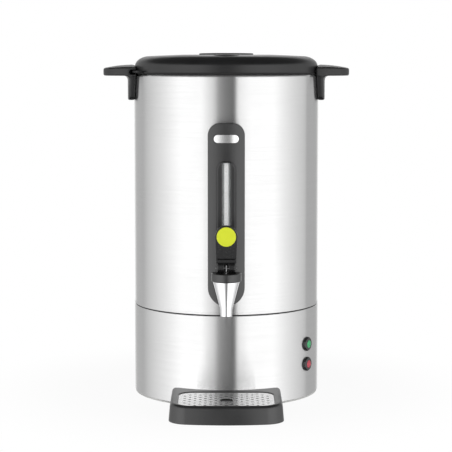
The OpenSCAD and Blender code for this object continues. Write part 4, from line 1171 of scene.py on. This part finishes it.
@dataclass
class Tap:
    """The lever tap.

    Attributes:
        lever_mould: How the lever's edges are rounded.
        outlet: Outer radius and height of the straight outlet.
        outlet_edge: Rounding of the outlet's edge.
        waist: Rounding between the outlet and the taper.
        brim: Rounding of the taper's upper edge.
        neck: Radius of the neck inside the collar.
        neck_edge: Rounding of the neck's upper edge.
        throat: Radius of the outlet's bore.
        chamber: Radius of the valve's chamber.
        seat: Height of the valve's seat.
        seat_rise: Height of the seat's cone.
        shank: Height of the shank's axis.
        boss: Radius of the boss round the shank.
        shank_bore: Radius and depth of the shank's hole in the boss.
        passage: Radius of the passage into the chamber.
        collar_gap: Gap over the spout's neck and under the collar.
        collar_fit: Gap round the spout's neck.
        collar_edges: Rounding of the collar's bore, foot and shoulder.
        stem_hole: Radius of the stem's hole in the collar.
        dimple: Upper and lower width and depth of the dimple round that hole.
        dimple_edges: Rounding of the dimple's rim, of its foot and of the hole.
        lean: How far the paddle leans back, in degrees.
        disc_half: Half the thickness of the yellow disc.
        disc_rim: Inner width of its raised rim at the top and at the foot.
        disc_face: Height of the face inside the rim.
        disc_edges: Rounding of its back, of its front and of the raised rim.
    """

    lever_mould: Mould = Mould(0.35, 7)
    outlet: Point = (8.0, 9.3)
    outlet_edge: float = 0.7
    waist: float = 22.0
    brim: float = 0.6
    neck: float = 14.5
    neck_edge: float = 0.4
    throat: float = 4.6
    chamber: float = 8.5
    seat: float = 160.0
    seat_rise: float = 3.0
    shank: float = 171.0
    boss: float = 9.5
    shank_bore: Point = (7.05, 14.0)
    passage: float = 4.2
    collar_gap: float = 0.1
    collar_fit: float = 0.05
    collar_edges: Corner = (0.3, 1.0, 1.5)
    stem_hole: float = 1.7
    dimple: Corner = (7.0, 6.4, 0.5)
    dimple_edges: Corner = (1.0, 0.4, 0.3)
    lean: float = 5.15
    disc_half: float = 0.4
    disc_rim: Point = (1.1, 1.4)
    disc_face: float = 0.22
    disc_edges: Corner = (0.1, 0.25, 0.2)

    def build(self) -> None:
        """Makes and dresses the tap's pieces."""
        self.spout()
        self.collar()
        lever = self.lever_mould.copy("lever_moulding", "tap_lever")
        dress(lever, DARK_PLASTIC, "lever", "black_plastic", "tap_lever")
        self.disc()
        paint(FASTENER_STEEL, "shank_nut", "tap_spring", "lever_pin")
        paint(CHROME, "tap_shank", "tap_stem")
        paint(SILICONE, "shank_seals", "seat_plug")

    def axis(self) -> Matrix:
        """The tap's upright axis."""
        return Matrix.Translation((0, node_centre("tap_collar").y, 0))

    def spout(self) -> None:
        """The tapered spout with its boss, chamber and bores."""
        low, high = node_box("spout")
        wide = (high.x - low.x) / 2
        top = node_box("tap_collar")[0].z - self.collar_gap
        slim, tall = self.outlet
        body = rounded([
            (0, low.z, 0), (slim, low.z, self.outlet_edge), (slim, low.z + tall, self.waist),
            (wide, top, self.brim), (self.neck, top, 0), (self.neck, high.z, self.neck_edge), (0, high.z, 0),
        ], step=4)
        spout = lathe("spout_turned", body, place=self.axis(), segments=128)
        depth = -self.axis().translation.y
        forward = outward(0, 0, self.shank)
        work(spout, drum("boss", self.boss, -high.y, depth, forward), Operation.JOIN)
        ground, roof, back = low.z - OVERCUT, high.z + OVERCUT, -high.y - OVERCUT
        chamber = [(0, ground), (self.throat, ground), (self.throat, self.seat),
                   (self.chamber, self.seat + self.seat_rise), (self.chamber, roof), (0, roof)]
        work(spout, lathe("chamber", chamber, place=self.axis(), segments=64), Operation.CUT)
        work(spout, drum("passage", self.passage, back, depth, forward, 48), Operation.CUT)
        bore, deep = self.shank_bore
        work(spout, drum("bore", bore, back, -high.y + deep, forward, 48), Operation.CUT)
        dress(spout, CHROME, "urn", "chrome", "spout")

    def collar(self) -> None:
        """The black collar over the spout's neck."""
        low, high = node_box("tap_collar")
        wide = (high.x - low.x) / 2
        roof = node_box("spout")[1].z + self.collar_gap
        bore, hole = self.neck + self.collar_fit, self.stem_hole
        bore_edge, foot_edge, shoulder_edge = self.collar_edges
        rim, foot, deep = self.dimple
        rim_edge, dip_edge, hole_edge = self.dimple_edges
        section = rounded([
            (hole, roof, 0), (bore, roof, 0), (bore, low.z, bore_edge), (wide, low.z, foot_edge),
            (wide, high.z, shoulder_edge), (hole + rim, high.z, rim_edge),
            (hole + foot, high.z - deep, dip_edge), (hole, high.z - deep, hole_edge),
        ], closed=True)
        collar = lathe("collar_turned", section, closed=True, place=self.axis(), segments=96)
        dress(collar, BLACK_PLASTIC, "urn", "black_plastic", "tap_collar")

    def disc(self) -> None:
        """The plain yellow disc on the paddle."""
        low, high = node_box("lever_disc")
        radius = (high.x - low.x) / 2
        tilt = Matrix.Rotation(math.radians(90 - self.lean), 4, "X")
        place = Matrix.Translation(node_centre("lever_disc")) @ tilt
        half, face = self.disc_half, self.disc_face
        rim_top, rim_foot = self.disc_rim
        back_edge, front_edge, rim_edge = self.disc_edges
        profile = rounded([
            (0, -half, 0), (radius, -half, back_edge), (radius, half, front_edge),
            (radius - rim_top, half, rim_edge), (radius - rim_foot, face, rim_edge), (0, face, 0),
        ])
        disc = lathe("lever_dot", profile, place=place, segments=96)
        dress(disc, YELLOW_PLASTIC, "lever", "yellow_plastic", "lever_disc")


class Button(Enum):
    """The two push buttons and their lens."""

    GREEN = GREEN_LENS
    RED = RED_LENS


@dataclass
class Buttons:
    """The two push buttons on the skirt.

    Attributes:
        azimuth: Their place round the skirt from the front, in degrees.
        bezel: Radius of a bezel.
        proud: How far a bezel stands out of the skirt.
        edge: Rounding of the bezel.
        cap: Radius of a cap.
        dome: How far a cap's middle stands out of its bezel.
        gap: Running gap round a cap.
        mouth: Rounding of the bezel's mouth.
        sink: How deep the bezel's rim reaches into the curved skirt.
        keeper: Radius, top and thickness of the rim that keeps a cap in.
        keeper_edge: Rounding of that rim.
        barrel: Length of the barrel behind the skirt.
        barrel_wall: Wall thickness of the barrel.
        plunger: Radius of the plunger behind a cap.
        plunger_edge: Rounding of the plunger's end.
        plunger_reach: How far the plunger stands out of the barrel.
    """

    azimuth: float = 59.0
    bezel: float = 10.3
    proud: float = 4.0
    edge: float = 3.4
    cap: float = 5.5
    dome: float = 1.7
    gap: float = 0.1
    mouth: float = 0.25
    sink: float = 1.5
    keeper: Corner = (6.3, -4.0, 2.0)
    keeper_edge: float = 0.2
    barrel: float = 16.0
    barrel_wall: float = 2.1
    plunger: float = 2.5
    plunger_edge: float = 0.3
    plunger_reach: float = 2.0

    def build(self) -> None:
        """Makes and dresses both buttons."""
        for button in Button:
            self.one(button.name.lower(), button.value)
        paint(DEVICE_PLASTIC, "green_switch", "red_switch")
        paint(FASTENER_STEEL, "button_nuts")

    def one(self, colour: str, lens: Finish) -> None:
        """Makes and dresses one button.

        Args:
            colour: First word of the button's node names.
            lens: Finish of its cap.
        """
        place = outward(self.azimuth, node_box("base_skirt")[1].x, node_centre(f"{colour}_cap").z)
        bore = self.cap + self.gap
        barrel = bore + self.barrel_wall
        wide, rim, thick = self.keeper
        hollow = wide + self.gap
        section = rounded([
            (bore, self.proud, self.mouth), (self.bezel, self.proud, self.edge), (self.bezel, -self.sink, 0),
            (barrel, -self.sink, 0), (barrel, -self.barrel, 0), (hollow, -self.barrel, 0),
            (hollow, rim + self.gap, 0), (bore, rim + self.gap, 0),
        ], closed=True)
        bezel = lathe(f"{colour}_surround", section, closed=True, place=place, segments=96)
        dress(bezel, DARK_PLASTIC, "urn", "black_plastic", f"{colour}_bezel")
        back, end = rim - thick, -self.barrel - self.plunger_reach
        ball = (self.cap ** 2 + self.dome ** 2) / (2 * self.dome)
        centre = self.proud + self.dome - ball
        profile = rounded([
            (0, end, 0), (self.plunger, end, self.plunger_edge), (self.plunger, back, 0),
            (wide, back, self.keeper_edge), (wide, rim, self.keeper_edge), (self.cap, rim, 0),
        ]) + arc((0, centre), (ball, ball), math.degrees(math.acos(self.cap / ball)), 90, 10)
        cap = lathe(f"{colour}_lens", profile, place=place, segments=64)
        dress(cap, lens, f"{colour}_button", f"{colour}_lens", f"{colour}_cap")


@dataclass
class Inlet:
    """The mains inlet at the back of the skirt.

    Attributes:
        mould: How the socket's edges are rounded.
        head: Radius of a screw's head.
        head_height: Height of a screw's head.
        shaft: Radius of a screw's shaft.
        edges: Rounding of the shaft's tip, of the head's underside and of its face.
        recess: Length, width and height of the tool that cuts one arm of the cross recess.
    """

    mould: Mould = Mould(0.4, 5)
    head: float = 2.8
    head_height: float = 1.4
    shaft: float = 1.5
    edges: Corner = (0.3, 0.1, 0.6)
    recess: Corner = (3.2, 0.7, 1.6)

    def build(self) -> None:
        """Makes and dresses the inlet."""
        socket = self.mould.copy("inlet_moulding", "inlet_socket")
        dress(socket, BLACK_PLASTIC, "urn", "black_plastic", "inlet_socket")
        self.screws()
        paint(BRASS, "inlet_pins")

    def screws(self) -> None:
        """The two cross-head screws."""
        low, high = node_box("inlet_screws")
        middle = (low.z + high.z) / 2
        neck = high.y - self.head_height
        tip, under, face = self.edges
        profile = rounded([(0, low.y, 0), (self.shaft, low.y, tip), (self.shaft, neck, 0),
                           (self.head, neck, under), (self.head, high.y, face), (0, high.y, 0)])
        made = None
        for x in (low.x + self.head, high.x - self.head):
            place = Matrix.Translation((x, 0, middle)) @ Matrix.Rotation(-math.pi / 2, 4, "X")
            screw = lathe("inlet_fixings", profile, place=place, segments=48)
            for turn in (45, 135):
                work(screw, self.slot(place, high.y, turn), Operation.CUT)
            made = screw if made is None else work(made, screw, Operation.JOIN)
        dress(made, FASTENER_STEEL, "urn", "fittings_steel", "inlet_screws")

    def slot(self, place: Matrix, face: float, turn: float) -> Object:
        """One arm of a screw's cross recess.

        Args:
            place: The screw's place.
            face: Height of its head's face along the screw.
            turn: Angle of the arm, in degrees.

        Returns:
            The tool that cuts the arm.
        """
        mesh = bmesh.new()
        arm = Matrix.Translation((0, 0, face)) @ Matrix.Rotation(math.radians(turn), 4, "Z")
        bmesh.ops.create_cube(mesh, size=1, matrix=arm @ Matrix.Diagonal((*self.recess, 1)))
        mesh.transform(Matrix.Scale(MM, 4) @ place)
        return as_object("arm", mesh)


@dataclass
class DripTray:
    """The loose tray in front of the urn.

    Attributes:
        bow: Radius of the bowed front, seen from above.
        corner: Rounding of the front corners, seen from above.
        tip: Rounding of the tips beside the skirt, at the foot.
        tip_least: Least rounding of the tips, at the top.
        draft: How far the walls lean in up to the shoulder.
        shoulder: Width and height of the rounded upper edge.
        lip: Rounding of the other upper edges.
        skirt_gap: Gap between tray and skirt.
        grille_gap: Gap round the grille.
        grille_rest: Gap under the grille.
        grille_corner: Rounding of the grille's corners.
        seat: Width of the ledge under the grille.
        floor: Thickness of the floor.
    """

    bow: float = 340.0
    corner: float = 28.0
    tip: float = 7.0
    tip_least: float = 0.5
    draft: float = 1.6
    shoulder: Point = (5.0, 6.5)
    lip: float = 1.6
    skirt_gap: float = 1.0
    grille_gap: float = 0.4
    grille_rest: float = 0.1
    grille_corner: float = 19.6
    seat: float = 3.0
    floor: float = 3.0

    def build(self) -> None:
        """Makes and dresses the tray and its grille."""
        tray = self.moulding()
        tray.visible_glossy = False
        dress(tray, BLACK_PLASTIC, "tray", "black_plastic", "drip_tray")
        paint(GRILLE_STEEL, "drip_grille")

    def moulding(self) -> Object:
        """Lofts the tray and cuts its bowl, its ledge and its hollow back.

        Returns:
            The tray.
        """
        top = node_box("drip_tray")[1].z
        wide, tall = self.shoulder
        walls = [(0.0, 0.0)] + arc((self.draft + wide, top - tall), self.shoulder, 180, 90, 10)
        tray = loft("tray_moulding", [[(*point, z) for point in self.plan(inset)] for inset, z in walls])
        back = node_box("base_skirt")[1].x + self.skirt_gap
        under, over = -OVERCUT, top + OVERCUT
        hollow = [(0, under), (back, under)] + self.edge(back, top) + [(back + self.lip, over), (0, over)]
        work(tray, lathe("hollow", hollow, segments=240), Operation.CUT)
        ledge = node_box("drip_grille")[0].z - self.grille_rest
        hole = [(0.0, ledge)] + self.edge(0, top) + [(self.lip, over)]
        bowl = [(-self.seat, self.floor), (-self.seat, ledge + OVERCUT)]
        for name, levels in (("hole", hole), ("bowl", bowl)):
            rings = [[(*point, z) for point in self.opening(grown)] for grown, z in levels]
            work(tray, loft(name, rings), Operation.CUT)
        tray.modifiers.new("level", "WEIGHTED_NORMAL").keep_sharp = True
        return settle(tray)

    def edge(self, start: float, top: float) -> list[Point]:
        """A tool's outline that rounds the upper edge beside it."""
        return arc((start + self.lip, top - self.lip), (self.lip, self.lip), 180, 90, 6)

    def plan(self, inset: float) -> list[Point]:
        """Outline of the tray from above, before its back is hollowed.

        Args:
            inset: How far the outline lies inside the tray's foot.

        Returns:
            The points, from the front's left end round to the left side.
        """
        low, high = node_box("drip_tray")
        bow, corner = self.bow - inset, self.corner - inset
        tip = max(self.tip - inset, self.tip_least)
        side, rear = high.x - inset, high.y - inset
        reach = side - corner
        turn = math.asin(reach / (bow - corner))
        middle = low.y + self.bow
        along = middle - (bow - corner) * math.cos(turn)
        lean = math.degrees(turn)
        right = arc((reach, along), (corner, corner), lean - 90, 0)
        right += arc((side - tip, rear - tip), (tip, tip), 0, 90, 6)
        left = [(-x, y) for x, y in reversed(right)]
        return arc((0, middle), (bow, bow), -90 - lean, lean - 90, 16)[1:-1] + right + left

    def opening(self, grown: float) -> list[Point]:
        """Outline of the hole for the grille.

        Args:
            grown: How far the outline lies outside the hole.

        Returns:
            The points in order.
        """
        low, high = node_box("drip_grille")
        room = self.grille_gap + grown
        turn = self.grille_corner + room
        left, front, right, back = low.x - room, low.y - room, high.x + room, high.y + room
        corners = [(left, front), (right, front), (right, back), (left, back)]
        return rounded([(*corner, turn) for corner in corners], closed=True)


class Works:
    """The pieces inside the urn, which keep their solids."""

    def build(self) -> None:
        """Dresses the percolator set and what the base holds."""
        paint(PRESSED_STEEL, "pump_foot", "riser_tube", "basket_sleeve", "basket_floor", "basket_wall",
              "spreader")
        paint(HEATER_SHEATH, "boil_element", "warm_element")
        paint(DEVICE_PLASTIC, "thermostat", "thermal_cutout", "base_plate")
        paint(WHITE_PLASTIC, "terminal_block")
        paint(WIRE_JACKET, "wiring")
        paint(FASTENER_STEEL, "foot_screws", "tie_studs", "tie_nuts")


@dataclass
class Studio:
    """The floor, the light tent and the camera.

    Attributes:
        tent_radius: Radius of the tent, in metres.
        tent_height: Height of the tent's top above the floor, in metres.
        tent_depth: Depth of its lower edge below the floor, which the steel mirrors, in metres.
        glow: Azimuth from the front and brightness of the tent's wall, from -180 to 180 degrees.
        sky: Brightness above the tent.
        fill_place: Place of the soft lamp that lights matt surfaces from the front, in metres.
        fill_size: Width of that lamp, in metres.
        fill_power: Power of that lamp, in watts.
        floor_size: Width of the floor, in metres.
        floor_drop: How far the floor lies under the urn's foot, in metres.
        floor_colour: Colour of the floor.
        floor_glow: Share of plain white that the camera sees beside the urn, where the rest keeps the shadow.
        floor_fade: Distances between which the floor turns to plain white, in metres.
        eye: Place of the camera, in metres.
        pitch: How far the camera looks down, in degrees.
        lens: Focal length, in millimetres.
        sensor: Width of the camera's sensor, in millimetres.
    """

    tent_radius: float = 3.4
    tent_height: float = 2.2
    tent_depth: float = 3.0
    glow: tuple[Point, ...] = (
        (-180, 1.05), (-166, 1.00), (-152, 0.56), (-125, 0.58), (-114, 0.77), (-92, 1.04), (-75, 1.28),
        (-58, 1.56), (-30, 1.56), (-24, 1.30), (-17, 1.08), (-13, 0.85), (-10, 0.52), (-5, 0.38), (0, 0.30),
        (5, 0.25), (9.5, 0.17), (10.5, 0.22), (13.5, 1.28), (28, 1.56), (60, 1.56), (75, 1.28), (92, 1.02),
        (115, 0.75), (117, 0.56), (152, 0.50), (166, 1.00), (180, 1.05),
    )
    sky: float = 0.12
    fill_place: Corner = (0.0, -2.8, 0.7)
    fill_size: float = 0.9
    fill_power: float = 34.0
    floor_size: float = 12.0
    floor_drop: float = 0.0003
    floor_colour: Colour = (0.92, 0.92, 0.92)
    floor_glow: float = 0.93
    floor_fade: Point = (0.16, 0.42)
    eye: Corner = (-0.0004, -2.3087, 0.485)
    pitch: float = 6.03
    lens: float = 125.9
    sensor: float = 36.0

    def build(self) -> None:
        """Sets the stage, the light and the camera."""
        self.floor()
        self.tent()
        self.fill()
        self.world()
        self.camera()
        bpy.context.scene.view_settings.view_transform = "Standard"

    def seen(self, graph: Graph) -> Socket:
        """Tells the rays that show the background from those that light the urn.

        Args:
            graph: The material's nodes.

        Returns:
            1 for rays that show the background, 0 for the others.
        """
        path = graph.add("ShaderNodeLightPath", {}).outputs
        shown = graph.math("MAXIMUM", path["Is Camera Ray"], path["Is Glossy Ray"])
        return graph.math("MAXIMUM", shown, path["Is Transmission Ray"])

    def floor(self) -> None:
        """A pale floor that keeps the urn's shadow."""
        mesh = bmesh.new()
        bmesh.ops.create_grid(mesh, x_segments=1, y_segments=1, size=self.floor_size / 2)
        floor = as_object("floor", mesh)
        floor.location.z = -self.floor_drop
        floor.visible_glossy = False
        graph = Graph("pale_floor")
        graph.surface({"Base Color": (*self.floor_colour, 1), "Roughness": 0.9, "Specular IOR Level": 0.1})
        away = graph.add("ShaderNodeVectorMath", {0: graph.here()}, operation="LENGTH").outputs["Value"]
        fade = graph.ranged(away, self.floor_fade, (self.floor_glow, 1.0), interpolation_type="SMOOTHSTEP")
        share = graph.math("MULTIPLY", self.seen(graph), fade)
        pale = graph.shader.outputs[0]
        graph.show(graph.add("ShaderNodeMixShader", {0: share, 1: pale, 2: graph.glow(1.0)}).outputs[0])
        floor.data.materials.append(graph.material)

    def tent(self) -> None:
        """A round wall of soft light with a dark gap where the camera looks in."""
        radius = self.tent_radius / MM
        wall = [(radius, -self.tent_depth / MM), (radius, self.tent_height / MM)]
        tent = lathe("light_tent", wall, segments=180)
        tent.visible_camera = False
        graph = Graph("tent_light")
        x, y, _ = graph.split(graph.here())
        angle = graph.math("ARCTAN2", x, graph.math("MULTIPLY", y, -1.0))
        share = graph.ranged(angle, (-math.pi, math.pi), (0.0, 1.0))
        ramp = graph.add("ShaderNodeFloatCurve", {"Value": share})
        curve = ramp.mapping.curves[0]
        top = max(level for _, level in self.glow)
        places = [((azimuth + 180) / 360, level / top) for azimuth, level in self.glow]
        for point, place in zip((curve.points[0], curve.points[1]), (places[0], places[-1])):
            point.location = place
        for place in places[1:-1]:
            curve.points.new(*place)
        for point in curve.points:
            point.handle_type = "VECTOR"
        ramp.mapping.update()
        graph.show(graph.glow(graph.math("MULTIPLY", ramp.outputs[0], top)))
        tent.data.materials.append(graph.material)

    def fill(self) -> None:
        """A soft lamp in front, which no polished surface mirrors."""
        data = bpy.data.lights.new("front_fill", "AREA")
        data.size = self.fill_size
        data.energy = self.fill_power
        lamp = add_object("front_fill", data)
        lamp.location = self.fill_place
        lamp.rotation_euler = (math.pi / 2, 0, 0)
        lamp.visible_camera = False
        lamp.visible_glossy = False

    def world(self) -> None:
        """White behind the urn and a softer sky above it."""
        world = bpy.data.worlds.new("studio_sky")
        world.use_nodes = True
        bpy.context.scene.world = world
        tree = world.node_tree
        path = tree.nodes.new("ShaderNodeLightPath")
        level = tree.nodes.new("ShaderNodeMapRange")
        level.inputs["To Min"].default_value = self.sky
        level.inputs["To Max"].default_value = 1.0
        tree.links.new(path.outputs["Is Camera Ray"], level.inputs["Value"])
        sky = tree.nodes["Background"]
        sky.inputs["Color"].default_value = (1, 1, 1, 1)
        tree.links.new(level.outputs[0], sky.inputs["Strength"])

    def camera(self) -> None:
        """The camera at the photograph's place."""
        data = bpy.data.cameras.new("camera")
        data.lens = self.lens
        data.sensor_width = self.sensor
        camera = add_object("camera", data)
        camera.location = self.eye
        camera.rotation_euler = (math.radians(90 - self.pitch), 0, 0)
        bpy.context.scene.camera = camera


def main() -> None:
    """Builds every sub-assembly in order."""
    logging.basicConfig(level=logging.INFO, format="%(message)s")
    for kind in (Studio, Shell, Lid, Handles, Gauge, Tap, Buttons, Inlet, DripTray, Works):
        LOG.info("building %s", kind.__name__)
        kind().build()


if __name__ == "__main__":
    main()
